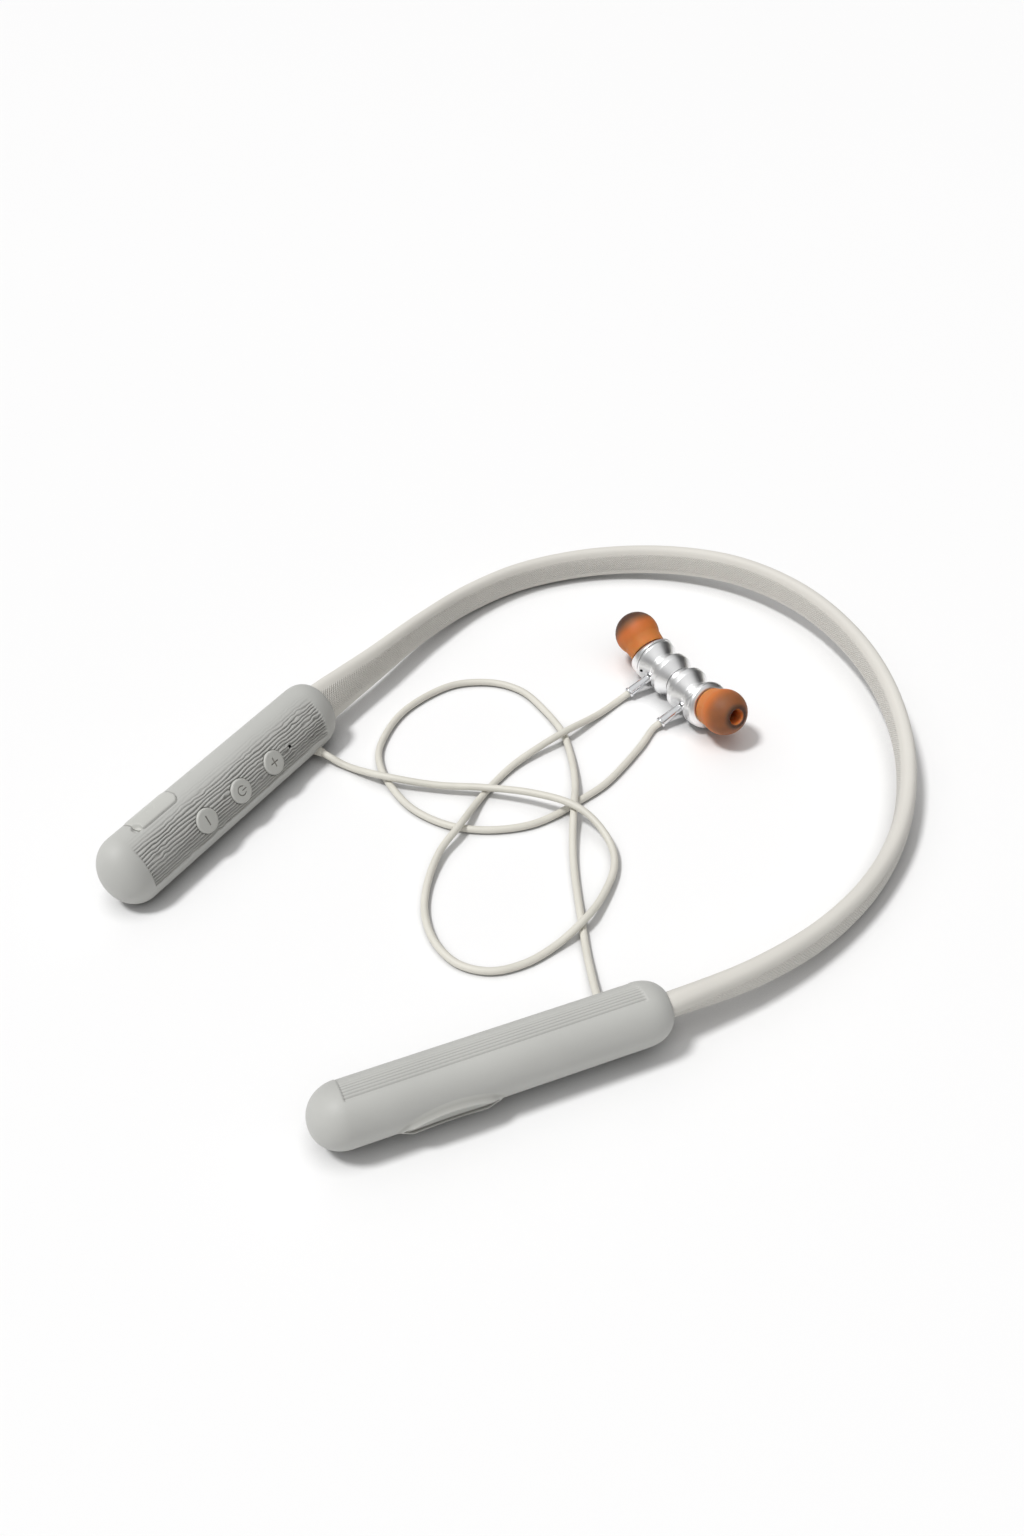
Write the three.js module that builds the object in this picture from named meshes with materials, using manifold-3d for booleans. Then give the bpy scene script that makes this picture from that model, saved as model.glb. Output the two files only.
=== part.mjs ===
// Neckband earphones, lying open on a table. Millimetres, +Z up.
// Origin: the middle of the bounding box (loose cords left out) at table height.
// +Y runs from the free tips of the two pods to the back of the neckband; +X is the wearer's right-hand pod.
import * as THREE from "three";
import { mergeVertices } from "three/addons/utils/BufferGeometryUtils.js";
import Module from "manifold-3d";

const wasm = await Module();
wasm.setup();

// ---- driving dimensions ----
const GAP = 0.3; // clearance between neighbouring pieces
const MIRROR_X = 4.7; // plane midway between the two pods

const POD_LENGTH = 77;
const POD_HALF_THIN = 6.85; // along the face normal
const POD_HALF_BROAD = 8.6;
const POD_WALL = 1.5;
const POD_TIP_CAP = 7.4; // length of the rounded free end
const POD_BAND_CAP = 7.5; // length of the rounded end that holds the band
const POD_TIP_POWER = 2.1;
const POD_BAND_POWER = 2.6;
const POD_AXIS_HEIGHT = 8.2;
const POD_TOE_IN = THREE.MathUtils.degToRad(17.7); // pods close up towards their tips
const POD_TILT = THREE.MathUtils.degToRad(30); // face normal above the horizontal
const BAND_END_X = 63.65; // band end of a pod, from the mirror plane
const BAND_END_Y = -29;

const BUTTON_PITCH = 12;
const BUTTON_MIDDLE_Y = 38.5; // the power button, from the pod's tip
const BUTTON_Z = -1; // just below the middle of the face
const BUTTON_RADIUS = 3;
const BUTTON_TOP = 7.2;
const BUTTON_UNDERSIDE = 4.4;
const PLUNGER_TIP = 3.45;
const SWITCH_TOP = 3;
const BOARD_FRONT = -1.9;
const BOARD_THICK = 0.8;

const RIB_COUNT = 9;
const RIB_PITCH = 1.7;
const RIB_WIDTH = 0.5;
const RIB_DEPTH = 0.3;
const RIB_START = 7.5;
const RIB_END = 69.5;

const PORT_Y = 18.5; // charging port, from the pod's tip, on the pod's upper edge
const SOCKET_LENGTH = 8.9;
const SOCKET_WIDTH = 3.2;
const SOCKET_MOUTH = 7.1;
const SOCKET_BACK = 0.2;
const COVER_LENGTH = 13;
const COVER_WIDTH = 6;
const COVER_FLOOR = 7.7;

const CALL_Y = 27; // call button, from the pod's tip, on the outer side
const CALL_LENGTH = 17.6;
const CALL_WIDTH = 5.4;
const CALL_TILT = THREE.MathUtils.degToRad(12);

const GLAND_Y = 66.5; // cord exit, from the pod's tip
const GLAND_DROP = 5.6; // below the pod's axis
const GLAND_START = 3.8; // along the inward horizontal, from the pod's axis
const GLAND_END = 7.9;
const GLAND_RADIUS = 1.35;

const BAND_HEIGHT = 9;
const BAND_THICK = 4.4;
const BAND_END_SCALE = 1.22; // the band swells where it meets a pod
const BAND_INSERT = 6; // length of band inside each pod
const BAND_TWIST_LENGTH = 60; // over this length the band turns to stand upright
const BORE_HEIGHT = 4.6;
const BORE_THICK = 2;
const CORE_RADIUS = 0.6;
const CORE_OFFSET = 1.2;

const BUD_MIDDLE = new THREE.Vector3(-7.9, 50.3, 6.25); // where the two magnetic backs meet
const BUD_YAW = THREE.MathUtils.degToRad(-8.5);
const BUD_RING_RADIUS = 6;
const BUD_WAIST_RADIUS = 4.2;
const BUD_BACK_RADIUS = 4.1;
const BUD_PITCH = 7.2; // ring to ring along the axis
const BUD_FLANGE_RADIUS = 6.2;
const NOZZLE_TILT = THREE.MathUtils.degToRad(20); // nozzles point up a little
const NOZZLE_RADIUS = 2.2;
const NOZZLE_END = 8.2;
const STEM_DROP = THREE.MathUtils.degToRad(22); // stems point down towards the table
const STEM_LENGTH = 12; // from the bud's axis
const TIP_RADIUS = 5.95;
const TIP_CENTRE = { left: 9.4, right: 8.8 }; // how far each eartip is pushed on

const CORD_RADIUS = 0.9;
const CORD_STEP = 4.6;

// ---- colours and finishes ----
function finish(color, roughness, metalness = 0) {
  return new THREE.MeshStandardMaterial({ color, roughness, metalness });
}
const POD_GREY = finish(0xbbbcb8, 0.55);
const BUTTON_GREY = finish(0xbdbdb9, 0.5);
const BAND_SILICONE = finish(0xccc9c3, 0.7);
const CORD_RUBBER = finish(0xcfccc4, 0.55);
const ALUMINIUM = finish(0xd8d9da, 0.25, 1);
const CHROME = finish(0xe2e3e4, 0.1, 1);
const STEEL = finish(0x8f9294, 0.35, 1);
const EARTIP_SILICONE = finish(0xb8733f, 0.4);
const BOARD_GREEN = finish(0x1f5a3c, 0.5);
const BLACK_PLASTIC = finish(0x202124, 0.5);
const CELL_FOIL = finish(0xa9adb2, 0.4, 0.6);

// ---- helpers ----
function solid(geometry) {
  const bare = geometry.clone();
  bare.deleteAttribute("normal");
  bare.deleteAttribute("uv");
  const merged = mergeVertices(bare, 1e-4);
  return new wasm.Manifold(
    new wasm.Mesh({
      numProp: 3,
      vertProperties: new Float32Array(merged.attributes.position.array),
      triVerts: new Uint32Array(merged.index.array),
    }),
  );
}

function geometryOf(manifold) {
  const mesh = manifold.getMesh();
  const geometry = new THREE.BufferGeometry();
  geometry.setAttribute("position", new THREE.BufferAttribute(new Float32Array(mesh.vertProperties), 3));
  geometry.setIndex(new THREE.BufferAttribute(new Uint32Array(mesh.triVerts), 1));
  geometry.computeVertexNormals();
  return geometry;
}

function piece(name, shape, material) {
  const geometry = shape.isBufferGeometry ? shape : geometryOf(shape);
  const mesh = new THREE.Mesh(geometry, material);
  mesh.name = name;
  return mesh;
}

// A box between two corners.
function block(x0, x1, y0, y1, z0, z1) {
  const box = new THREE.BoxGeometry(x1 - x0, y1 - y0, z1 - z0);
  return box.translate((x0 + x1) / 2, (y0 + y1) / 2, (z0 + z1) / 2);
}

// A cylinder or cone along +Y from y0 to y1.
function rod(r0, r1, y0, y1, sides = 16) {
  return new THREE.CylinderGeometry(r1, r0, y1 - y0, sides).translate(0, (y0 + y1) / 2, 0);
}

// Turned solid about the Y axis from [radius, y] pairs.
function turned(profile, sides = 20) {
  return new THREE.LatheGeometry(profile.map(([r, y]) => new THREE.Vector2(r, y)), sides);
}

// Closed outline with rounded ends: |x/a|^n + |y/b|^n = 1.
function superellipse(halfX, halfY, power, count) {
  return Array.from({ length: count }, (_, i) => {
    const angle = ((i + 0.5) / count) * 2 * Math.PI;
    const c = Math.cos(angle);
    const s = Math.sin(angle);
    return new THREE.Vector2(
      halfX * Math.sign(c) * Math.abs(c) ** (2 / power),
      halfY * Math.sign(s) * Math.abs(s) ** (2 / power),
    );
  });
}

// A slot outline: straight sides along X, half-round ends.
function slotShape(length, width) {
  const straight = (length - width) / 2;
  const shape = new THREE.Shape();
  shape.absarc(straight, 0, width / 2, -Math.PI / 2, Math.PI / 2, false);
  shape.absarc(-straight, 0, width / 2, Math.PI / 2, (3 * Math.PI) / 2, false);
  return shape;
}

// A slot-shaped prism, long along Y, rising along Z from z0 to z1.
function slotPrism(length, width, y, z0, z1) {
  const prism = new THREE.ExtrudeGeometry(slotShape(length, width), {
    depth: z1 - z0,
    bevelEnabled: false,
    curveSegments: 6,
  });
  return prism.rotateZ(Math.PI / 2).translate(0, y, z0);
}

// ---- pods ----
// Local pod frame: +X out of the face, +Y from the free tip to the band, +Z the upper edge.
function capRadius(distance, length, power) {
  const t = Math.min(distance / length, 1);
  return (1 - (1 - t) ** power) ** (1 / power);
}

function podSolid(inset) {
  const capSteps = 5;
  const profile = [[0, 0]];
  for (let i = 1; i <= capSteps; i++) {
    const d = POD_TIP_CAP * (i / capSteps) ** 2;
    profile.push([capRadius(d, POD_TIP_CAP, POD_TIP_POWER), d]);
  }
  for (let i = capSteps; i >= 1; i--) {
    const d = POD_BAND_CAP * (i / capSteps) ** 2;
    profile.push([capRadius(d, POD_BAND_CAP, POD_BAND_POWER), POD_LENGTH - d]);
  }
  profile.push([0, POD_LENGTH]);
  const body = turned(profile, 28);
  body.scale(POD_HALF_THIN - inset, (POD_LENGTH - 2 * inset) / POD_LENGTH, POD_HALF_BROAD - inset);
  return solid(body.translate(0, inset, 0));
}

function podFrame(side) {
  const along = new THREE.Vector3(side * Math.sin(POD_TOE_IN), Math.cos(POD_TOE_IN), 0);
  const inward = new THREE.Vector3(-side * along.y, side * along.x, 0);
  const up = new THREE.Vector3(0, 0, 1);
  const face = inward.clone().multiplyScalar(Math.cos(POD_TILT)).addScaledVector(up, Math.sin(POD_TILT));
  const edge = up.clone().multiplyScalar(Math.cos(POD_TILT)).addScaledVector(inward, -Math.sin(POD_TILT));
  const bandEnd = new THREE.Vector3(MIRROR_X + side * BAND_END_X, BAND_END_Y, POD_AXIS_HEIGHT);
  const tip = bandEnd.clone().addScaledVector(along, -POD_LENGTH);
  return { along, inward, face, edge, tip, bandEnd };
}

function podGroup(side) {
  const { along, face, edge, tip } = podFrame(side);
  const group = new THREE.Group();
  group.matrix.makeBasis(face, along, edge).setPosition(tip);
  group.matrixAutoUpdate = false;
  return group;
}

// Long shallow grooves that follow the curved face.
function ribCutters(firstAngle) {
  const cutters = [];
  let angle = firstAngle;
  for (let i = 0; i < RIB_COUNT; i++) {
    const x = POD_HALF_THIN * Math.cos(angle);
    const z = POD_HALF_BROAD * Math.sin(angle);
    const normal = Math.atan2(z / POD_HALF_BROAD ** 2, x / POD_HALF_THIN ** 2);
    const groove = block(-RIB_DEPTH, 1, RIB_START, RIB_END, -RIB_WIDTH / 2, RIB_WIDTH / 2);
    cutters.push(solid(groove.rotateY(-normal).translate(x, 0, z)));
    angle += RIB_PITCH / Math.hypot(POD_HALF_THIN * Math.sin(angle), POD_HALF_BROAD * Math.cos(angle));
  }
  return cutters;
}

function bandOpening() {
  const shape = new THREE.Shape(
    superellipse((BAND_THICK * BAND_END_SCALE) / 2 + GAP, (BAND_HEIGHT * BAND_END_SCALE) / 2 + GAP, 2.5, 24),
  );
  const prism = new THREE.ExtrudeGeometry(shape, { depth: 20, bevelEnabled: false });
  return solid(prism.rotateX(-Math.PI / 2).translate(0, POD_LENGTH - 10, 0));
}

// The gland's line in the pod frame: horizontal and inward, so turned back by the pod's tilt.
function alongGland(geometry) {
  geometry.rotateZ(-Math.PI / 2);
  geometry.translate(0, GLAND_Y, -GLAND_DROP);
  return geometry.rotateY(POD_TILT);
}

function cordGland() {
  const body = rod(GLAND_RADIUS, 1.1, GLAND_START, GLAND_END, 16);
  const collar = rod(GLAND_RADIUS, GLAND_RADIUS, GLAND_START, GLAND_START + 1.8, 16);
  return solid(alongGland(body)).add(solid(alongGland(collar)));
}

function glandHole() {
  const radius = GLAND_RADIUS + GAP;
  return solid(alongGland(rod(radius, radius, GLAND_START - 1, GLAND_END + 2, 16)));
}

function podShells(cuts) {
  let shell = podSolid(0).subtract(podSolid(POD_WALL)).subtract(bandOpening()).subtract(glandHole());
  for (const cut of cuts) shell = shell.subtract(cut);
  const half = 40;
  const front = solid(block(GAP / 2, half, -5, POD_LENGTH + 5, -half, half));
  const back = solid(block(-half, -GAP / 2, -5, POD_LENGTH + 5, -half, half));
  return { face: shell.intersect(front), back: shell.intersect(back) };
}

// Holds the end of the band; the core and the wires pass through its slot.
function bandAnchor() {
  const body = solid(block(-2.2, 2.2, 62.5, 70.6, -4, 4.4));
  return body.subtract(solid(block(-1.1, 1.1, 60, 75, -2.5, 2.5)));
}

const BUTTONS = [
  { name: "volume_down", y: BUTTON_MIDDLE_Y - BUTTON_PITCH },
  { name: "power", y: BUTTON_MIDDLE_Y },
  { name: "volume_up", y: BUTTON_MIDDLE_Y + BUTTON_PITCH },
];

// A turned shape standing out of the pod's face at (y, z).
function onFace(geometry, y, z) {
  return geometry.rotateZ(-Math.PI / 2).translate(0, y, z);
}

function roundButton(y) {
  const edge = 0.35;
  const cap = turned([
    [0, BUTTON_UNDERSIDE],
    [BUTTON_RADIUS, BUTTON_UNDERSIDE],
    [BUTTON_RADIUS, BUTTON_TOP - edge],
    [BUTTON_RADIUS - edge, BUTTON_TOP],
    [0, BUTTON_TOP],
  ]);
  const plunger = rod(1.2, 1.2, PLUNGER_TIP, BUTTON_UNDERSIDE + 0.5);
  return solid(onFace(cap, y, BUTTON_Z)).add(solid(onFace(plunger, y, BUTTON_Z)));
}

function buttonMembrane() {
  const y0 = BUTTONS[0].y - 5;
  const y1 = BUTTONS[2].y + 3.8;
  let sheet = solid(block(3.5, 3.8, y0, y1, BUTTON_Z - 3.6, BUTTON_Z + 3.6));
  for (const { y } of BUTTONS) sheet = sheet.subtract(solid(onFace(rod(1.6, 1.6, 3, 5), y, BUTTON_Z)));
  return sheet;
}

function tactSwitch(base, y, z) {
  const half = 2.2;
  const body = solid(block(base, base + 3.2, y - half, y + half, z - half, z + half));
  return body.add(solid(onFace(rod(1, 1, base + 3, SWITCH_TOP, 16), y, z)));
}

function chargingSocket() {
  const shell = slotPrism(SOCKET_LENGTH, SOCKET_WIDTH, PORT_Y, SOCKET_BACK, SOCKET_MOUTH);
  const room = slotPrism(SOCKET_LENGTH - 0.7, SOCKET_WIDTH - 0.7, PORT_Y, SOCKET_BACK + 1, SOCKET_MOUTH + 1);
  const tongue = block(-0.35, 0.35, PORT_Y - 3.2, PORT_Y + 3.2, SOCKET_BACK + 0.5, SOCKET_MOUTH - 0.8);
  return solid(shell).subtract(solid(room)).add(solid(tongue));
}

function portCuts() {
  const recess = slotPrism(COVER_LENGTH + 2 * GAP, COVER_WIDTH + 2 * GAP, PORT_Y, COVER_FLOOR - GAP, 12);
  const mouth = slotPrism(SOCKET_LENGTH + 2 * GAP, SOCKET_WIDTH + 2 * GAP, PORT_Y, 5, 12);
  return [solid(recess), solid(mouth)];
}

function portCover() {
  const pad = solid(slotPrism(COVER_LENGTH, COVER_WIDTH, PORT_Y, COVER_FLOOR, 12));
  const notch = rod(1, 1, -4, 4, 16).rotateX(Math.PI / 2);
  notch.translate(1.9, PORT_Y - COVER_LENGTH / 2 + 0.4, COVER_FLOOR);
  return podSolid(-0.15).intersect(pad).subtract(solid(notch));
}

function leftPod() {
  const group = podGroup(-1);
  const cuts = [...portCuts(), ...ribCutters(-0.6)];
  for (const { y } of BUTTONS) cuts.push(solid(onFace(rod(3 + GAP, 3 + GAP, 2, 9), y, BUTTON_Z)));
  cuts.push(solid(onFace(rod(0.4, 0.4, 3, 9, 12), 57, -0.7)));
  const shells = podShells(cuts);
  group.add(piece("left_pod_face_shell", shells.face, POD_GREY));
  group.add(piece("left_pod_back_shell", shells.back, POD_GREY));
  for (const { name, y } of BUTTONS) {
    group.add(piece(`${name}_button`, roundButton(y), BUTTON_GREY));
    group.add(piece(`${name}_switch`, tactSwitch(BOARD_FRONT + GAP, y, BUTTON_Z), BLACK_PLASTIC));
  }
  group.add(piece("button_membrane", buttonMembrane(), CORD_RUBBER));
  group.add(piece("main_circuit_board", block(BOARD_FRONT - BOARD_THICK, BOARD_FRONT, 12, 60, -5, 5), BOARD_GREEN));
  group.add(piece("wireless_module", block(BOARD_FRONT + GAP, 0.2, 30, 46, 1.9, 5), STEEL));
  group.add(piece("microphone", onFace(rod(1.6, 1.6, 3.2, 4.4, 16), 57, -0.7), STEEL));
  group.add(piece("charging_socket", chargingSocket(), STEEL));
  group.add(piece("charging_port_cover", portCover(), BUTTON_GREY));
  group.add(piece("left_band_anchor", bandAnchor(), BLACK_PLASTIC));
  group.add(piece("left_cord_gland", cordGland(), CORD_RUBBER));
  return group;
}

// The call button's own frame: +Z out of the pod's outer side, turned a little towards the upper edge.
function outOfOuterSide(geometry) {
  return geometry.rotateY(-Math.PI / 2 + CALL_TILT);
}

function callCap() {
  const cap = solid(outOfOuterSide(slotPrism(CALL_LENGTH, CALL_WIDTH, CALL_Y, 4.9, 7.5)));
  const dish = new THREE.SphereGeometry(1, 20, 10).scale(4.2, 8, 0.5).translate(0, CALL_Y, 7.55);
  return cap.subtract(solid(outOfOuterSide(dish)));
}

function callBezel() {
  const lip = 0.9;
  const ring = slotPrism(CALL_LENGTH + 2 * (GAP + lip), CALL_WIDTH + 2 * (GAP + lip), CALL_Y, 5, 7.3);
  const hole = slotPrism(CALL_LENGTH + 2 * GAP, CALL_WIDTH + 2 * GAP, CALL_Y, 4, 9);
  return solid(outOfOuterSide(ring)).subtract(solid(outOfOuterSide(hole)));
}

function callSwitch() {
  const body = solid(outOfOuterSide(block(-2.2, 2.2, CALL_Y - 2.2, CALL_Y + 2.2, 1.2, 2.6)));
  const button = rod(1, 1, 2.4, 4.3, 16).rotateX(Math.PI / 2).translate(0, CALL_Y, 0);
  return body.add(solid(outOfOuterSide(button)));
}

function rightPod() {
  const group = podGroup(1);
  const opening = slotPrism(CALL_LENGTH + 2.4 + 4 * GAP, CALL_WIDTH + 1.8 + 4 * GAP, CALL_Y, 3, 10);
  const cuts = [solid(outOfOuterSide(opening)), ...ribCutters(-0.35)];
  const shells = podShells(cuts);
  group.add(piece("right_pod_face_shell", shells.face, POD_GREY));
  group.add(piece("right_pod_back_shell", shells.back, POD_GREY));
  group.add(piece("call_button", callCap(), BUTTON_GREY));
  group.add(piece("call_button_bezel", callBezel(), BUTTON_GREY));
  group.add(piece("call_button_switch", callSwitch(), BLACK_PLASTIC));
  group.add(piece("call_button_board", outOfOuterSide(block(-4, 4, 14, 37, 0.1, 0.9)), BOARD_GREEN));
  group.add(piece("battery_cell", block(-2.9, 2.9, 38.5, 60, -4.8, 4.8), CELL_FOIL));
  group.add(piece("right_band_anchor", bandAnchor(), BLACK_PLASTIC));
  group.add(piece("right_cord_gland", cordGland(), CORD_RUBBER));
  return group;
}

// ---- neckband ----
// The band's line between the pods as it lies: it rests on the table at both sides and arches at the back.
const BAND_ROUTE = [
  [-64.2, -9.5, 7.6],
  [-70.6, 11.5, 6.3],
  [-74.6, 32.5, 5.1],
  [-73.5, 51.9, 4.8],
  [-64.9, 71.9, 5.4],
  [-50.1, 88.4, 6.6],
  [-32.3, 98, 8],
  [-10.7, 100.5, 9.1],
  [11.6, 96, 9.4],
  [31.4, 86.6, 8.8],
  [49.8, 72, 7.2],
  [63.6, 53.9, 5.5],
  [71.3, 34.9, 5],
  [74.7, 13.4, 5.9],
  [73.5, -8.3, 7.3],
];

// A curve whose section frame turns from the pods' tilt to upright, and can swell towards the ends.
class BandCurve extends THREE.CatmullRomCurve3 {
  constructor(insert, endScale) {
    const left = podFrame(-1);
    const right = podFrame(1);
    const points = [
      left.bandEnd.clone().addScaledVector(left.along, -insert),
      left.bandEnd,
      ...BAND_ROUTE.map((p) => new THREE.Vector3(...p)),
      right.bandEnd,
      right.bandEnd.clone().addScaledVector(right.along, -insert),
    ];
    super(points, false, "centripetal");
    this.endScale = endScale;
  }

  computeFrenetFrames(steps) {
    const up = new THREE.Vector3(0, 0, 1);
    const total = this.getLength();
    const frames = { tangents: [], normals: [], binormals: [] };
    for (let i = 0; i <= steps; i++) {
      const tangent = this.getTangentAt(i / steps);
      const distance = (Math.min(i, steps - i) / steps) * total;
      const nearEnd = Math.max(0, 1 - distance / BAND_TWIST_LENGTH) ** 2;
      const turn = POD_TILT * Math.min(1, 1.2 * nearEnd);
      const inward = tangent.clone().cross(up).normalize();
      const rise = inward.clone().cross(tangent).normalize();
      const scale = 1 + (this.endScale - 1) * Math.min(1, 1.2 * nearEnd);
      const thin = inward.clone().multiplyScalar(Math.cos(turn)).addScaledVector(rise, Math.sin(turn));
      const tall = rise.clone().multiplyScalar(Math.cos(turn)).addScaledVector(inward, -Math.sin(turn));
      frames.tangents.push(tangent);
      frames.normals.push(tall.multiplyScalar(scale));
      frames.binormals.push(thin.multiplyScalar(scale));
    }
    return frames;
  }
}

function alongBand(shape, insert, endScale, steps) {
  const path = new BandCurve(insert, endScale);
  return solid(new THREE.ExtrudeGeometry(shape, { steps, extrudePath: path, curveSegments: 6 }));
}

function neckband() {
  const sleeve = new THREE.Shape(superellipse(BAND_HEIGHT / 2, BAND_THICK / 2, 2.5, 14));
  sleeve.holes.push(new THREE.Path(superellipse(BORE_HEIGHT / 2, BORE_THICK / 2, 4, 6).reverse()));
  const circle = (offset) => new THREE.Shape(
    superellipse(CORE_RADIUS, CORE_RADIUS, 2, 6).map((p) => p.add(new THREE.Vector2(offset, 0))),
  );
  const inner = BAND_INSERT + 5;
  return [
    piece("neckband_sleeve", alongBand(sleeve, BAND_INSERT, BAND_END_SCALE, 46), BAND_SILICONE),
    piece("neckband_spring_core", alongBand(circle(CORE_OFFSET), inner, 1, 44), STEEL),
    piece("neckband_wire_harness", alongBand(circle(-CORE_OFFSET), inner, 1, 44), BLACK_PLASTIC),
  ];
}

// ---- earbuds ----
// Local bud frame: +Y from the magnetic back towards the nozzle, the cord stem points along -X.
function budGroup(side) {
  const out = new THREE.Vector3(side * Math.cos(BUD_YAW), side * Math.sin(BUD_YAW), 0);
  const away = new THREE.Vector3(-Math.sin(BUD_YAW), Math.cos(BUD_YAW), 0).multiplyScalar(Math.cos(STEM_DROP));
  away.z = Math.sin(STEM_DROP);
  const third = new THREE.Vector3().crossVectors(away, out);
  const group = new THREE.Group();
  group.matrix.makeBasis(away, out, third).setPosition(BUD_MIDDLE);
  group.matrixAutoUpdate = false;
  return group;
}

// Tilts the nozzle's own turned shapes upwards about the flange.
function onNozzle(geometry, side) {
  const roll = side * (Math.PI / 2 - STEM_DROP);
  return geometry.rotateZ(-NOZZLE_TILT).rotateY(roll).translate(0, 1.5 * BUD_PITCH, 0);
}

function rearHousing() {
  const rim = 1.5 * BUD_PITCH - GAP / 2 - 0.3;
  const outer = turned([
    [0, GAP / 2],
    [BUD_BACK_RADIUS, GAP / 2],
    [BUD_RING_RADIUS - 0.1, BUD_PITCH / 2 - 0.25],
    [BUD_RING_RADIUS, BUD_PITCH / 2],
    [BUD_RING_RADIUS - 0.1, BUD_PITCH / 2 + 0.25],
    [BUD_WAIST_RADIUS, BUD_PITCH - 0.2],
    [BUD_WAIST_RADIUS, BUD_PITCH + 0.2],
    [BUD_FLANGE_RADIUS - 0.1, rim - 0.3],
    [BUD_FLANGE_RADIUS - 0.1, rim],
    [0, rim],
  ]);
  const cavity = turned([
    [0, 1.2],
    [3, 1.2],
    [3, 8.5],
    [4.8, 10.2],
    [4.8, 14],
    [0, 14],
  ]);
  return solid(outer).subtract(solid(cavity)).subtract(solid(stemRod(1.1 + GAP, 1.1 + GAP, 0, 9)));
}

function frontHousing(side) {
  const outer = turned([
    [0, -3.4],
    [BUD_FLANGE_RADIUS - 0.7, -3.4],
    [BUD_FLANGE_RADIUS, 0.3],
    [BUD_FLANGE_RADIUS, 2.2],
    [BUD_FLANGE_RADIUS - 0.4, 2.9],
    [NOZZLE_RADIUS, 3.4],
    [NOZZLE_RADIUS, 7.3],
    [NOZZLE_RADIUS + 0.3, 7.6],
    [NOZZLE_RADIUS + 0.3, NOZZLE_END],
    [0, NOZZLE_END],
  ]);
  const bore = turned([
    [0, -4.4],
    [5, -4.4],
    [5, 2.3],
    [1.6, 2.3],
    [1.6, NOZZLE_END + 1],
    [0, NOZZLE_END + 1],
  ]);
  const seam = 1.5 * BUD_PITCH - GAP / 2;
  const behind = solid(block(-20, 20, 0, seam, -20, 20));
  return solid(onNozzle(outer, side)).subtract(solid(onNozzle(bore, side))).subtract(behind);
}

// A rod along the stem's line, measured from the bud's axis.
function stemRod(r0, r1, from, to) {
  return rod(r0, r1, from, to, 16).rotateZ(Math.PI / 2).translate(0, BUD_PITCH, 0);
}

function cordStem() {
  const body = stemRod(1.05, 1.25, 3.3, STEM_LENGTH - 0.6);
  const ring = stemRod(1.4, 1.4, STEM_LENGTH - 0.7, STEM_LENGTH);
  return solid(body).add(solid(ring));
}

function eartip(centre) {
  const skirt = 5;
  const arc = (radius, from, to, steps) => Array.from({ length: steps + 1 }, (_, i) => {
    const angle = THREE.MathUtils.degToRad(from + ((to - from) * i) / steps);
    return [radius * Math.cos(angle), centre + radius * Math.sin(angle)];
  });
  const seatTop = NOZZLE_END + GAP;
  const inner = TIP_RADIUS - 0.8;
  return turned([
    [NOZZLE_RADIUS + 0.6, centre - skirt + 1.2],
    [3.6, centre - skirt + 1.2],
    [3.6, centre + 1],
    ...arc(inner, 30, 0, 2),
    [inner - 0.9, centre - skirt],
    [TIP_RADIUS - 1, centre - skirt],
    ...arc(TIP_RADIUS, -8, 58, 5),
    [2, centre + 5],
    [1.7, centre + 4.6],
    [1.7, seatTop],
    [NOZZLE_RADIUS + 0.6, seatTop],
    [NOZZLE_RADIUS + 0.6, centre - skirt + 1.2],
  ]);
}

function earbud(name, side) {
  const group = budGroup(side);
  const disc = (radius, from, to) => rod(radius, radius, from, to);
  group.add(piece(`${name}_bud_rear_housing`, rearHousing(), ALUMINIUM));
  group.add(piece(`${name}_bud_front_housing`, frontHousing(side), ALUMINIUM));
  group.add(piece(`${name}_bud_magnet`, disc(2.6, 1.5, 3.5), STEEL));
  group.add(piece(`${name}_bud_driver`, onNozzle(disc(4.4, 0.9, 2), side), STEEL));
  group.add(piece(`${name}_bud_nozzle_mesh`, onNozzle(disc(1.3, 7.7, 7.9), side), STEEL));
  group.add(piece(`${name}_bud_cord_stem`, cordStem(), CHROME));
  group.add(piece(`${name}_bud_eartip`, onNozzle(eartip(TIP_CENTRE[name]), side), EARTIP_SILICONE));
  return group;
}

// ---- earbud cords ----
// Each runs from its pod's gland, along the table in loops, to its bud's stem; crossings are long low humps.
const LEFT_CORD_ROUTE = [
  [-41.6, -33.9, 1.1],
  [-30.8, -30, 3],
  [-20.4, -21.6, 2.4],
  [-11.6, -13.4, 3],
  [-1.3, -6.3, 4.3],
  [9, -2, 5.2],
  [15.7, -0.9, 3.8],
  [23.1, -2.4, 2],
  [28.3, -6.5, 1.7],
  [33.8, -15.8, 2.2],
  [36.5, -23.1, 3],
  [37.1, -32.5, 1.3],
  [36.3, -41.1, 1],
  [33.2, -47.9, 1],
  [27.2, -52, 1],
  [19.5, -52.2, 1],
  [11.4, -49.1, 1],
  [4.5, -43.4, 1.3],
  [-1.8, -34.7, 2.2],
  [-4.9, -26.5, 3],
  [-11.4, -13.6, 1],
  [-14.7, -1.8, 1.2],
  [-15.1, 6.5, 2],
  [-14.7, 15, 3],
  [-15.8, 29, 1.2],
];
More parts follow.
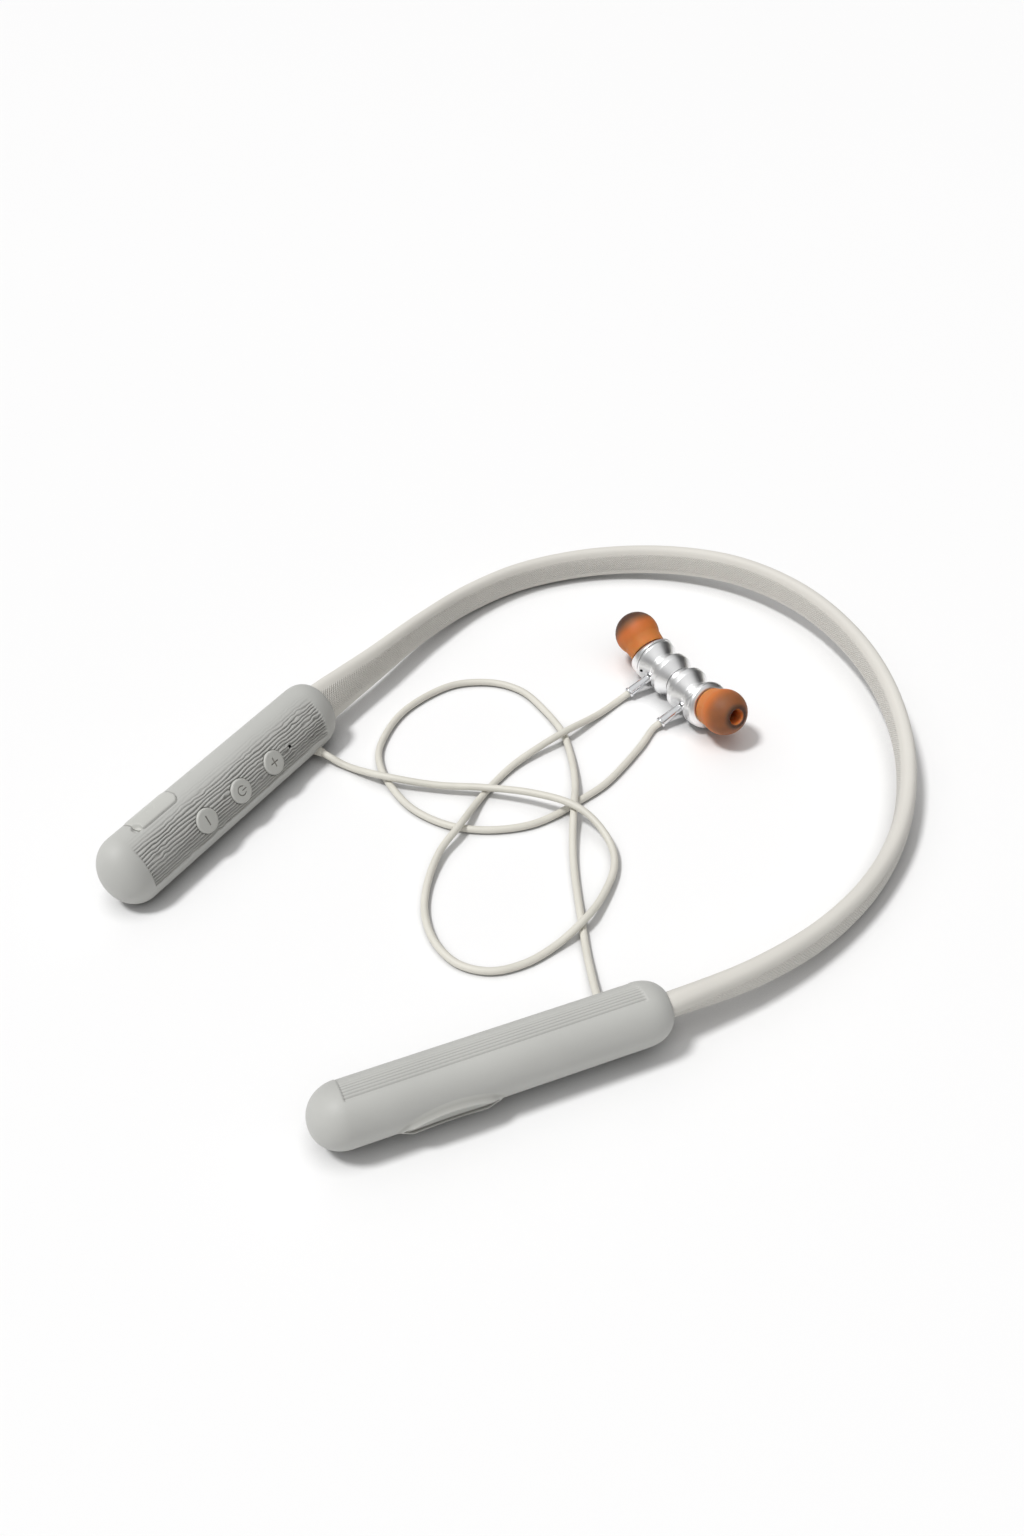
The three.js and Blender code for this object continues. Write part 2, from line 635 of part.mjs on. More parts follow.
const RIGHT_CORD_ROUTE = [
  [44.4, -29.2, 1.1],
  [37.4, -24.4, 1],
  [21.4, -12.9, 1.1],
  [13.4, -6.2, 2],
  [7.4, -0.5, 3],
  [0.3, 6.2, 2],
  [-9.2, 13, 1],
  [-16.8, 16.9, 1],
  [-26.5, 19.1, 1],
  [-35.9, 19.7, 1],
  [-42.3, 17.3, 1],
  [-46.8, 13.2, 1],
  [-50.3, 7, 1],
  [-51.1, -1.9, 1],
  [-49.5, -11.1, 1],
  [-45.5, -18.9, 1],
  [-40.6, -24.7, 1],
  [-34.8, -27.9, 1],
  [-27.8, -29.8, 1],
  [-18, -30.3, 1],
  [-7.8, -26.8, 1],
  [-0.7, -20.4, 1],
  [4.1, -12, 1],
  [5.5, -4.6, 1],
  [5.5, 2.9, 1],
  [5.1, 12, 1],
  [0.5, 28.4, 1],
];

function glandMouth(side) {
  const { along, inward, tip } = podFrame(side);
  const axis = tip.clone().addScaledVector(along, GLAND_Y);
  axis.z -= GLAND_DROP;
  const mouth = axis.clone().addScaledVector(inward, GLAND_END + GAP);
  const next = axis.clone().addScaledVector(inward, GLAND_END + GAP + 2.4);
  next.z -= 0.4;
  return [mouth, next];
}

function stemMouth(side) {
  const group = budGroup(side);
  const at = (distance) => new THREE.Vector3(-distance, BUD_PITCH, 0).applyMatrix4(group.matrix);
  return [at(STEM_LENGTH + GAP + 1.6), at(STEM_LENGTH + GAP)];
}

function cord(name, side, route) {
  const middle = route.map((p) => new THREE.Vector3(...p));
  const path = new THREE.CatmullRomCurve3([...glandMouth(side), ...middle, ...stemMouth(side)], false, "centripetal");
  const steps = Math.round(path.getLength() / CORD_STEP);
  const section = new THREE.Shape(superellipse(CORD_RADIUS, CORD_RADIUS, 2, 8));
  return piece(name, new THREE.ExtrudeGeometry(section, { steps, extrudePath: path }), CORD_RUBBER);
}

const neckbandEarphones = new THREE.Group();
neckbandEarphones.add(leftPod(), rightPod(), ...neckband());
neckbandEarphones.add(earbud("left", -1), earbud("right", 1));
neckbandEarphones.add(cord("left_earbud_cord", -1, LEFT_CORD_ROUTE));
neckbandEarphones.add(cord("right_earbud_cord", 1, RIGHT_CORD_ROUTE));

export default neckbandEarphones;
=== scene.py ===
"""Neckband earphones lying open on a table: the looks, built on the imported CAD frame.

Lengths are in millimetres until a piece is made, which is in metres.
"""
import math

import bpy
import numpy as np
from mathutils import Matrix, Vector


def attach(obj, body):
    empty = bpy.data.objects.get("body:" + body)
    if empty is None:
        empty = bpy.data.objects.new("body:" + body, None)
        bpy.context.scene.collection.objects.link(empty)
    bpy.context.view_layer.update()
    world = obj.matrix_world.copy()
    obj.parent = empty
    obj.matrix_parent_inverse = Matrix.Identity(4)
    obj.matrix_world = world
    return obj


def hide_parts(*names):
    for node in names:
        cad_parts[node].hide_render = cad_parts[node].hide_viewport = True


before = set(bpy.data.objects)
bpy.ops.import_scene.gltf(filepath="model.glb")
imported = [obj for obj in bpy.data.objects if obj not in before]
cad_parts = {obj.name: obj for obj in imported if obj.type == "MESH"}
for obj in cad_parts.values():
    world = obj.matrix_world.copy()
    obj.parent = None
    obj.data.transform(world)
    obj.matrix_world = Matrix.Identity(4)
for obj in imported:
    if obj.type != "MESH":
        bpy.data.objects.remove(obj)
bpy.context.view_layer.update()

MM = 0.001
UP = Vector((0, 0, 1))

# ---- dimensions, most of them shared with the CAD ----
MIRROR_X = 4.7
POD_LENGTH = 77
HALF_THIN = 6.85
HALF_BROAD = 8.6
TIP_CAP = 7.4
BAND_CAP = 7.5
TIP_POWER = 2.1
BAND_POWER = 2.6
POD_TOE_IN = math.radians(17.7)
POD_TILT = math.radians(30)
BAND_END_X = 63.65
BAND_END_Y = -29
POD_AXIS_HEIGHT = 8.2

BUTTON_Z = -1
BUTTON_RADIUS = 3
BUTTON_TOP = 7.2
PORT_Y = 18.5
COVER_LENGTH = 13
COVER_WIDTH = 6
COVER_CORNER = 1.7
COVER_THICK = 0.95
COVER_RECESS = 1
COVER_SHIFT = 1.2  # the cover reaches a little further towards the face than its socket
COVER_GAP = 0.17
NOTCH_X = 2.1
SOCKET_LENGTH = 8.9
SOCKET_WIDTH = 3.2
SOCKET_RIM = 0.3
SOCKET_RECESS = 3.4
MIC_Y = 57
MIC_Z = -0.7
MIC_RADIUS = 0.45
CALL_Y = 27
CALL_TILT = math.radians(12)
GLAND_Y = 66.5
GLAND_DROP = 5.6
GLAND_START = 3.8
GLAND_END = 7.9
GLAND_RADIUS = 1.35
GLAND_RINGS = 4

BAND_HEIGHT = 9
BAND_THICK = 4.4
BAND_END_SCALE = 1.22
BAND_INSERT = 6
BAND_TWIST_LENGTH = 60
WEAVE_PITCH = 0.72
WEAVE_LEAN = 0.9
BAND_ROUTE = [
    (-64.2, -9.5, 7.6), (-70.6, 11.5, 6.3), (-74.6, 32.5, 5.1), (-73.5, 51.9, 4.8), (-64.9, 71.9, 5.4),
    (-50.1, 88.4, 6.6), (-32.3, 98, 8), (-10.7, 100.5, 9.1), (11.6, 96, 9.4), (31.4, 86.6, 8.8),
    (49.8, 72, 7.2), (63.6, 53.9, 5.5), (71.3, 34.9, 5), (74.7, 13.4, 5.9), (73.5, -8.3, 7.3),
]

BUD_MIDDLE = Vector((-7.9, 50.3, 6.25))
BUD_YAW = math.radians(-8.5)
BUD_PITCH = 7.2
FLANGE_Y = 1.5 * BUD_PITCH
NOZZLE_TIP = 7.9
NOZZLE_TILT = math.radians(20)
STEM_DROP = math.radians(22)
STEM_LENGTH = 12
TIP_RADIUS = 5.95
TIP_CENTRE = {"left": 9.4, "right": 8.8}
TIP_SKIRT = 3.4

CORD_RADIUS = 0.9
CORD_TUCK = 0.9  # how far each end goes into its gland or stem
LEFT_CORD_ROUTE = [
    (-41.6, -33.9, 1.1), (-30.8, -30, 3), (-20.4, -21.6, 2.4), (-11.6, -13.4, 3), (-1.3, -6.3, 4.3),
    (9, -2, 5.2), (15.7, -0.9, 3.8), (23.1, -2.4, 2), (28.3, -6.5, 1.7), (33.8, -15.8, 2.2),
    (36.5, -23.1, 3), (37.1, -32.5, 1.3), (36.3, -41.1, 1), (33.2, -47.9, 1), (27.2, -52, 1),
    (19.5, -52.2, 1), (11.4, -49.1, 1), (4.5, -43.4, 1.3), (-1.8, -34.7, 2.2), (-4.9, -26.5, 3),
    (-11.4, -13.6, 1), (-14.7, -1.8, 1.2), (-15.1, 6.5, 2), (-14.7, 15, 3), (-15.8, 29, 1.2),
]
RIGHT_CORD_ROUTE = [
    (44.4, -29.2, 1.1), (37.4, -24.4, 1), (21.4, -12.9, 1.1), (13.4, -6.2, 2), (7.4, -0.5, 3.05),
    (0.3, 6.2, 2), (-9.2, 13, 1), (-16.8, 16.9, 1), (-26.5, 19.1, 1), (-35.9, 19.7, 1),
    (-42.3, 17.3, 1), (-46.8, 13.2, 1), (-50.3, 7, 1), (-51.1, -1.9, 1), (-49.5, -11.1, 1),
    (-45.5, -18.9, 1), (-40.6, -24.7, 1), (-34.8, -27.9, 1), (-27.8, -29.8, 1), (-18, -30.3, 1),
    (-7.8, -26.8, 1), (-0.7, -20.4, 1), (4.1, -12, 1), (5.5, -4.6, 1), (5.5, 2.9, 1),
    (5.1, 12, 1), (0.5, 28.4, 1),
]


def linked(name, data):
    """A new object in the scene."""
    made = bpy.data.objects.new(name, data)
    bpy.context.scene.collection.objects.link(made)
    return made


# ---- camera ----
CAMERA_AT = Vector((184.9, -167.8, 236.8)) * MM
CAMERA_AIM = Vector((-15.2, -1.4, 0)) * MM
FOCAL_LENGTH = 32.42


def make_camera():
    camera = linked("camera", bpy.data.cameras.new("camera"))
    camera.data.sensor_width = 36
    camera.data.lens = FOCAL_LENGTH
    camera.data.clip_start = 0.01
    camera.data.clip_end = 20
    camera.location = CAMERA_AT
    camera.rotation_euler = (CAMERA_AIM - CAMERA_AT).to_track_quat("-Z", "Y").to_euler()
    bpy.context.scene.camera = camera


make_camera()


# ---- materials ----
def srgb(r, g, b):
    """A colour of 0 to 255 as a linear shader colour."""
    linear = [c / 255 / 12.92 if c <= 10 else ((c / 255 + 0.055) / 1.055) ** 2.4 for c in (r, g, b)]
    return (*linear, 1)


class Nodes:
    """Short ways to add and join the nodes of one tree."""

    def __init__(self, tree):
        self.tree = tree

    def node(self, kind, inputs=(), **settings):
        """A new node with its settings, then its inputs: each a number, a colour or another node's output."""
        made = self.tree.nodes.new(kind)
        for key, value in settings.items():
            setattr(made, key, value)
        for key, value in dict(inputs).items():
            self.feed(made.inputs[key], value)
        return made

    def feed(self, socket, value):
        if isinstance(value, bpy.types.NodeSocket):
            self.tree.links.new(value, socket)
        else:
            socket.default_value = value

    def math(self, operation, a, b=0.0):
        return self.node("ShaderNodeMath", {0: a, 1: b}, operation=operation).outputs[0]

    def place(self):
        """The point in the row frame, in metres: every piece's own origin is the frame's."""
        return self.node("ShaderNodeTexCoord").outputs["Object"]

    def attribute(self, name):
        return self.node("ShaderNodeAttribute", attribute_name=name).outputs["Fac"]

    def noise(self, scale, detail=3.0, where=None):
        """Noise from 0 to 1 with about `scale` bumps per metre."""
        inputs = {"Vector": where or self.place(), "Scale": scale, "Detail": detail}
        return self.node("ShaderNodeTexNoise", inputs).outputs["Fac"]

    def ramp(self, value, *stops):
        """Colours at positions, each stop a (position, colour) pair."""
        made = self.node("ShaderNodeValToRGB", {0: value})
        elements = made.color_ramp.elements
        while len(elements) < len(stops):
            elements.new(0.5)
        for element, (position, colour) in zip(elements, stops):
            element.position = position
            element.color = colour
        return made.outputs["Color"]

    def remap(self, value, low, high, to_low, to_high, form="LINEAR"):
        """The value carried from one range to another."""
        inputs = {"Value": value, "From Min": low, "From Max": high, "To Min": to_low, "To Max": to_high}
        return self.node("ShaderNodeMapRange", inputs, interpolation_type=form).outputs[0]

    def dot(self, vector, direction):
        made = self.node("ShaderNodeVectorMath", {0: vector, 1: direction}, operation="DOT_PRODUCT")
        return made.outputs["Value"]

    def mix(self, share, a, b):
        inputs = {"Factor": share, "A": a, "B": b}
        return self.node("ShaderNodeMix", inputs, data_type="RGBA").outputs["Result"]

    def bump(self, height, depth, under=None):
        """A normal from a height of 0 to 1, which stands for depth metres."""
        inputs = {"Height": height, "Distance": depth}
        if under is not None:
            inputs["Normal"] = under
        return self.node("ShaderNodeBump", inputs).outputs["Normal"]


class Shader(Nodes):
    """A material with one Principled shader."""

    def __init__(self, name, roughness=0.5, metallic=0.0):
        self.material = bpy.data.materials.new(name)
        self.material.use_nodes = True
        super().__init__(self.material.node_tree)
        self.shader = self.tree.nodes["Principled BSDF"]
        self.set(Roughness=roughness, Metallic=metallic)

    def set(self, **values):
        for key, value in values.items():
            self.feed(self.shader.inputs[key.replace("_", " ")], value)


def shade(colour, factor):
    """The colour made darker or lighter by a factor."""
    return (*[c * factor for c in colour[:3]], 1)


def moulded(name, colour, roughness, grain=2600, grain_depth=0.00003, mark=None):
    """Matt moulded plastic: faint cloudy tone, fine grain, uneven gloss, and painted shade: a darker colour
    mixed in by a point attribute.
    """
    s = Shader(name)
    cloud = s.noise(45, 4)
    tone = s.ramp(cloud, (0.3, shade(colour, 0.96)), (0.7, shade(colour, 1.03)))
    # Painted shade: the darker colour stands in for shade in grooves, gaps, creases and engraved signs.
    if mark:
        tone = s.mix(s.attribute("mark"), tone, mark)
    fine = s.noise(grain, 2)
    s.set(Base_Color=tone, Roughness=s.remap(fine, 0.3, 0.7, roughness - 0.05, roughness + 0.06))
    soft = s.bump(s.noise(420, 2), grain_depth * 0.7)
    s.set(Normal=s.bump(fine, grain_depth * 0.4, soft))
    s.set(Specular_IOR_Level=0.35, Sheen_Weight=0.08, Sheen_Roughness=0.5)
    return s.material


def turned_metal(name, colour, roughness, lines=9000):
    """Metal with faint turning lines round the earbuds' axis and slight smudges."""
    s = Shader(name, metallic=1)
    along = s.dot(s.place(), (math.cos(BUD_YAW), math.sin(BUD_YAW), 0))
    rings = s.noise(lines, 1, where=s.node("ShaderNodeCombineXYZ", {"X": along}).outputs[0])
    smudge = s.noise(300, 3)
    s.set(Base_Color=s.ramp(smudge, (0.3, shade(colour, 0.95)), (0.75, colour)))
    s.set(Roughness=s.remap(s.math("ADD", rings, smudge), 0.7, 1.3, roughness - 0.03, roughness + 0.06))
    s.set(Normal=s.bump(rings, 0.0000015))
    return s.material


def plated(name, colour, roughness):
    """Polished or brushed plating with slight smudges."""
    s = Shader(name, metallic=1)
    smudge = s.noise(500, 3)
    s.set(Base_Color=s.ramp(smudge, (0.3, shade(colour, 0.94)), (0.75, colour)))
    s.set(Roughness=s.remap(smudge, 0.3, 0.7, roughness, roughness + 0.07))
    return s.material


def band_rubber():
    """Smooth silicone whose two faces carry a fine diagonal weave, with painted shade in the weave's valleys.

    The UV map holds millimetres along the band and around its section.
    """
    s = Shader("band_silicone")
    colour = srgb(213, 210, 203)
    cloud = s.noise(40, 4)
    split = s.node("ShaderNodeSeparateXYZ", {0: s.node("ShaderNodeUVMap", uv_map="band").outputs[0]})
    along, around = split.outputs[0], split.outputs[1]
    lean = s.math("MULTIPLY", around, WEAVE_LEAN)
    waves = []
    for combined in (s.math("ADD", along, lean), s.math("SUBTRACT", along, lean)):
        phase = s.math("MULTIPLY", combined, 2 * math.pi / WEAVE_PITCH)
        waves.append(s.remap(s.math("SINE", phase), -1, 1, 0, 1))
    weave = s.math("ADD", s.math("MULTIPLY", waves[0], 0.62), s.math("MULTIPLY", waves[1], 0.38))
    face = s.attribute("face")
    height = s.math("MULTIPLY", weave, face)
    tone = s.ramp(cloud, (0.3, shade(colour, 0.97)), (0.7, shade(colour, 1.02)))
    # Painted shade in the valleys of the weave.
    valley_shade = s.math("MULTIPLY", s.remap(weave, 0, 0.55, 0.3, 0), face)
    s.set(Base_Color=s.mix(valley_shade, tone, shade(colour, 0.45)))
    s.set(Roughness=s.remap(cloud, 0.3, 0.7, 0.55, 0.66))
    s.set(Normal=s.bump(height, 0.00018, s.bump(s.noise(2400, 2), 0.00001)))
    s.set(Specular_IOR_Level=0.35, Sheen_Weight=0.1)
    return s.material


def eartip_rubber():
    """Translucent orange silicone that turns brown towards the thick dome end, with extra painted shade at
    the far end, mostly on the left tip; attribute depth is 0 to 1.
    """
    s = Shader("eartip_silicone", roughness=0.55)
    depth = s.attribute("depth")
    cloud = s.noise(380, 2)
    shifted = s.math("ADD", depth, s.math("MULTIPLY", s.math("SUBTRACT", cloud, 0.5), 0.12))
    tone = s.ramp(
        shifted, (0.0, srgb(224, 134, 70)), (0.34, srgb(208, 118, 60)), (0.6, srgb(158, 99, 61)),
        (0.85, srgb(112, 81, 60)), (1.0, srgb(84, 58, 44)),
    )
    s.set(Base_Color=tone, Normal=s.bump(s.noise(1500, 2), 0.000012))
    s.set(Subsurface_Weight=0.7, Subsurface_Radius=(1.0, 0.35, 0.12), Subsurface_Scale=0.0022)
    s.set(Transmission_Weight=0.12, Specular_IOR_Level=0.25)
    return s.material


def cord_rubber():
    """Satin cord jacket with faint unevenness."""
    s = Shader("cord_rubber")
    colour = srgb(214, 211, 201)
    cloud = s.noise(160, 3)
    s.set(Base_Color=s.ramp(cloud, (0.3, shade(colour, 0.95)), (0.7, shade(colour, 1.02))))
    s.set(Roughness=s.remap(cloud, 0.3, 0.7, 0.42, 0.52), Normal=s.bump(s.noise(2200, 2), 0.00001))
    s.set(Specular_IOR_Level=0.4)
    return s.material


def circuit_board():
    """Green solder mask with copper runs."""
    s = Shader("circuit_board", roughness=0.35)
    cells = s.node("ShaderNodeTexVoronoi", {"Vector": s.place(), "Scale": 700}, feature="DISTANCE_TO_EDGE")
    run = s.remap(cells.outputs["Distance"], 0.04, 0.07, 1, 0)
    s.set(Base_Color=s.mix(run, srgb(18, 84, 54), srgb(58, 132, 84)), Normal=s.bump(run, 0.00003))
    return s.material


def foil():
    """The battery cell's crinkled foil pouch."""
    s = Shader("cell_foil", roughness=0.3, metallic=0.85)
    s.set(Base_Color=s.ramp(s.noise(250, 4), (0.3, srgb(150, 154, 158)), (0.7, srgb(190, 193, 196))))
    s.set(Normal=s.bump(s.noise(900, 4), 0.0001))
    return s.material


# The last colour of each grey is painted shade for its grooves, gaps and engravings.
POD_GREY = moulded("pod_plastic", srgb(186, 186, 182), 0.52, mark=srgb(92, 90, 86))
BUTTON_GREY = moulded("button_plastic", srgb(192, 192, 187), 0.46, mark=srgb(96, 92, 84))
BLACK = moulded("black_plastic", srgb(34, 35, 38), 0.45)
# Black standing in for the shade inside holes: painted shade.
HOLE_SHADE = moulded("hole_painted_shade", srgb(6, 6, 6), 0.8)
BAND_SILICONE = band_rubber()
CORD_RUBBER = cord_rubber()
EARTIP_SILICONE = eartip_rubber()
ALUMINIUM = turned_metal("bud_aluminium", srgb(249, 249, 249), 0.34)
CHROME = plated("stem_chrome", srgb(238, 239, 241), 0.05)
STEEL = plated("plated_steel", srgb(170, 173, 175), 0.28)
BOARD_GREEN = circuit_board()
CELL_FOIL = foil()


# ---- mesh helpers ----
def make_piece(name, points, faces, material, body, replaced=(), matrix=Matrix(), flip=False):
    """A smooth mesh of local points in millimetres, moved by matrix into the row frame."""
    points = np.asarray(points, float).reshape(-1, 3)
    turn = np.array(matrix)
    world = (points @ turn[:3, :3].T + turn[:3, 3]) * MM
    if (matrix.determinant() < 0) != flip:
        faces = [tuple(reversed(f)) for f in faces]
    mesh = bpy.data.meshes.new(name)
    mesh.from_pydata(world.tolist(), [], faces)
    mesh.materials.append(material)
    mesh.shade_smooth()
    piece = linked(name, mesh)
    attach(piece, body)
    if replaced:
        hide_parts(*replaced)
    return piece


def grid_faces(rows, columns, wrap=False):
    """Quads of a grid whose points are listed row by row."""
    faces = []
    last = columns if wrap else columns - 1
    for i in range(rows - 1):
        for j in range(last):
            k = (j + 1) % columns
            a = i * columns
            faces.append((a + j, a + k, a + columns + k, a + columns + j))
    return faces


def lofted(rows, closed=False):
    """Points and faces of an outline carried through rows of points, closed by one face after the last."""
    columns = len(rows[0])
    faces = grid_faces(len(rows), columns, wrap=True)
    if closed:
        faces.append(tuple((len(rows) - 1) * columns + j for j in reversed(range(columns))))
    return np.concatenate(rows), faces


def point_attribute(piece, name, values):
    layer = piece.data.attributes.new(name, "FLOAT", "POINT")
    layer.data.foreach_set("value", np.asarray(values, np.float32))


def rounded(profile, radius, steps=4):
    """The profile with each corner between its ends replaced by a small arc-like bend."""
    out = [profile[0]]
    for a, b, c in zip(profile, profile[1:], profile[2:]):
        a, b, c = Vector(a), Vector(b), Vector(c)
        reach = min(radius, (a - b).length * 0.45, (c - b).length * 0.45)
        start = b + (a - b).normalized() * reach
        end = b + (c - b).normalized() * reach
        for i in range(steps + 1):
            t = i / steps
            out.append(tuple(start.lerp(b, t).lerp(b.lerp(end, t), t)))
    out.append(profile[-1])
    return out


def turned(profile, sides=96):
    """Points and faces of a lathe about +Y from (radius, y) pairs that start and end on the axis."""
    angles = np.linspace(0, 2 * math.pi, sides, endpoint=False)
    rings = [(max(r, 1e-4), y) for r, y in profile]
    points = [(r * math.cos(a), y, -r * math.sin(a)) for r, y in rings for a in angles]
    return points, grid_faces(len(rings), sides, wrap=True)


def smooth_line(points, per_span=16):
    """Points along a centripetal Catmull-Rom curve through the given ones."""
    p = [Vector(q) for q in points]
    p = [2 * p[0] - p[1]] + p + [2 * p[-1] - p[-2]]
    line = []
    for a, b, c, d in zip(p, p[1:], p[2:], p[3:]):
        da, db, dc = [(v - u).length ** 0.5 for u, v in ((a, b), (b, c), (c, d))]
        leave = ((b - a) / da - (c - a) / (da + db) + (c - b) / db) * db
        arrive = ((c - b) / db - (d - b) / (db + dc) + (d - c) / dc) * db
        for i in range(per_span):
            t = i / per_span
            line.append(
                b * (2 * t**3 - 3 * t**2 + 1) + leave * (t**3 - 2 * t**2 + t)
                + c * (3 * t**2 - 2 * t**3) + arrive * (t**3 - t**2)
            )
    line.append(p[-2])
    return line


def evenly(line, step):
    """The line resampled at an even spacing close to step, as an array."""
    xyz = np.array([tuple(p) for p in line])
    run = np.concatenate([[0], np.cumsum(np.linalg.norm(np.diff(xyz, axis=0), axis=1))])
    at = np.linspace(0, run[-1], max(2, round(run[-1] / step) + 1))
    return np.stack([np.interp(at, run, xyz[:, k]) for k in range(3)], axis=1), at


def lattice_noise(u, v, seed):
    """Smooth noise from -1 to 1 on a unit lattice, the same on every run."""
    table = np.random.default_rng(seed).uniform(-1, 1, (128, 128))
    i, j = np.floor(u).astype(int), np.floor(v).astype(int)
    a, b = u - i, v - j
    a, b = a * a * (3 - 2 * a), b * b * (3 - 2 * b)
    pick = lambda m, n: table[m % 128, n % 128]
    low = pick(i, j) * (1 - a) + pick(i + 1, j) * a
    high = pick(i, j + 1) * (1 - a) + pick(i + 1, j + 1) * a
    return low * (1 - b) + high * b


def signed_power(x, power):
    """A power of the size of x that keeps its sign."""
    return np.sign(x) * np.abs(x) ** power


def smoothstep(low, high, x):
    """0 at low and 1 at high, or the other way round where low is the larger."""
    t = np.clip((x - low) / (high - low), 0, 1)
    return t * t * (3 - 2 * t)


# ---- frames ----
SIDES = (("left", -1), ("right", 1))


def placed(x, y, z, origin):
    """The matrix whose axes are x, y and z, at origin."""
    matrix = Matrix((x, y, z)).transposed().to_4x4()
    matrix.translation = origin
    return matrix


def pod_frame(side):
    """The pod's matrix (+X face, +Y tip to band, +Z upper edge), its level directions and its band end."""
    along = Vector((side * math.sin(POD_TOE_IN), math.cos(POD_TOE_IN), 0))
    inward = Vector((-side * along.y, side * along.x, 0))
    face = inward * math.cos(POD_TILT) + UP * math.sin(POD_TILT)
    edge = UP * math.cos(POD_TILT) - inward * math.sin(POD_TILT)
    band_end = Vector((MIRROR_X + side * BAND_END_X, BAND_END_Y, POD_AXIS_HEIGHT))
    tip = band_end - along * POD_LENGTH
    return placed(face, along, edge, tip), along, inward, band_end


def bud_frame(side):
    """+Y from the magnetic back to the nozzle, the cord stem points along -X."""
    out = Vector((math.cos(BUD_YAW), math.sin(BUD_YAW), 0)) * side
    away = Vector((-math.sin(BUD_YAW), math.cos(BUD_YAW), 0)) * math.cos(STEM_DROP) + UP * math.sin(STEM_DROP)
    return placed(away, out, away.cross(out), BUD_MIDDLE)


def nozzle_frame(side):
    """The bud's frame tilted upwards about the flange."""
    roll = Matrix.Rotation(side * (math.pi / 2 - STEM_DROP), 4, "Y")
    tilt = Matrix.Rotation(-NOZZLE_TILT, 4, "Z")
    return bud_frame(side) @ Matrix.Translation((0, FLANGE_Y, 0)) @ roll @ tilt


# ---- cords ----
def gland_frame(side):
    """+Y out of the pod along the gland."""
    matrix, along, inward, _ = pod_frame(side)
    origin = matrix.translation + along * GLAND_Y - UP * GLAND_DROP
    return placed(along * side, inward, (along * side).cross(inward), origin)


def gland_mouth(side):
    """Two points that lead the cord straight out of its gland."""
    gland = gland_frame(side)
    axis = gland.translation
    inward = gland.col[1].to_3d()
    return [axis + inward * (GLAND_END + 0.3), axis + inward * (GLAND_END + 2.7) - UP * 0.4]


def stem_mouth(side):
    """Two points that lead the cord straight into its stem."""
    return [bud_frame(side) @ Vector((-STEM_LENGTH - reach, BUD_PITCH, 0)) for reach in (1.9, 0.3)]


def make_cord(name, side, route):
    """A round cord from the pod's gland, in loops along the table, to the bud's stem."""
    mouth = gland_mouth(side)
    end = stem_mouth(side)
    line = smooth_line([*mouth, *route, *end])
    inner_start = mouth[0] - (mouth[1] - mouth[0]).normalized() * CORD_TUCK
    inner_end = end[1] + (end[1] - end[0]).normalized() * CORD_TUCK
    points, run = evenly([inner_start, *line, inner_end], 1.2)
    curve = bpy.data.curves.new(name, "CURVE")
    curve.dimensions = "3D"
    curve.bevel_depth = CORD_RADIUS * MM
    curve.bevel_resolution = 6
    spline = curve.splines.new("POLY")
    spline.points.add(len(points) - 1)
    for point, place in zip(spline.points, points):
        point.co = (*(place * MM), 1)
    spline.use_smooth = True
    curve.materials.append(CORD_RUBBER)
    cord = linked(name + "_jacket", curve)
    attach(cord, "neckband")
    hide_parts(name)


make_cord("left_earbud_cord", -1, LEFT_CORD_ROUTE)
make_cord("right_earbud_cord", 1, RIGHT_CORD_ROUTE)


# ---- pod skins ----
CAP_RINGS = 56
RING_STEP = 0.19
HALF_COLUMNS = 220
BAND_SOCKET_DEPTH = 1.6
BAND_SOCKET_GAP = 0.25


def cap_rings(length, power):
    """Distance from the end and radius factor of the rings of a superellipse cap."""
    quarter = np.linspace(0, math.pi / 2, CAP_RINGS + 1)[1:]
    return length * (1 - np.cos(quarter).clip(0) ** (2 / power)), np.sin(quarter) ** (2 / power)


def pod_rings():
    """Distance from the tip and radius factor of every ring of the skin."""
    tip = cap_rings(TIP_CAP, TIP_POWER)
    band = cap_rings(BAND_CAP, BAND_POWER)
    count = round((POD_LENGTH - TIP_CAP - BAND_CAP) / RING_STEP)
    middle = np.linspace(TIP_CAP, POD_LENGTH - BAND_CAP, count + 1)[1:-1]
    distance = np.concatenate([tip[0], middle, POD_LENGTH - band[0][::-1]])
    factor = np.concatenate([tip[1], np.ones(len(middle)), band[1][::-1]])
    return distance, factor


def ellipse_arc():
    """Arc length along the pod's section from the face normal, against the section's own angle."""
    angle = np.linspace(-math.pi, 2 * math.pi, 3001)
    speed = np.hypot(HALF_THIN * np.sin(angle), HALF_BROAD * np.cos(angle))
    run = np.concatenate([[0], np.cumsum((speed[1:] + speed[:-1]) / 2 * np.diff(angle))])
    return angle, run - np.interp(0, angle, run)


ARC_ANGLE, ARC_RUN = ellipse_arc()


def circle_distance(u, v, at_u, at_v, radius):
    """Signed distance to a circle."""
    return np.hypot(u - at_u, v - at_v) - radius


def slot_distance(u, v, at_u, length, width, corner=None):
    """Signed distance to a slot outline, long along u, or to one with smaller round corners."""
    corner = corner or width / 2
    over_u = np.maximum(np.abs(u - at_u) - length / 2 + corner, 0)
    over_v = np.maximum(np.abs(v) - width / 2 + corner, 0)
    inner = np.minimum(np.maximum(np.abs(u - at_u) - length / 2, np.abs(v) - width / 2) + corner, 0)
    return np.hypot(over_u, over_v) + inner - corner


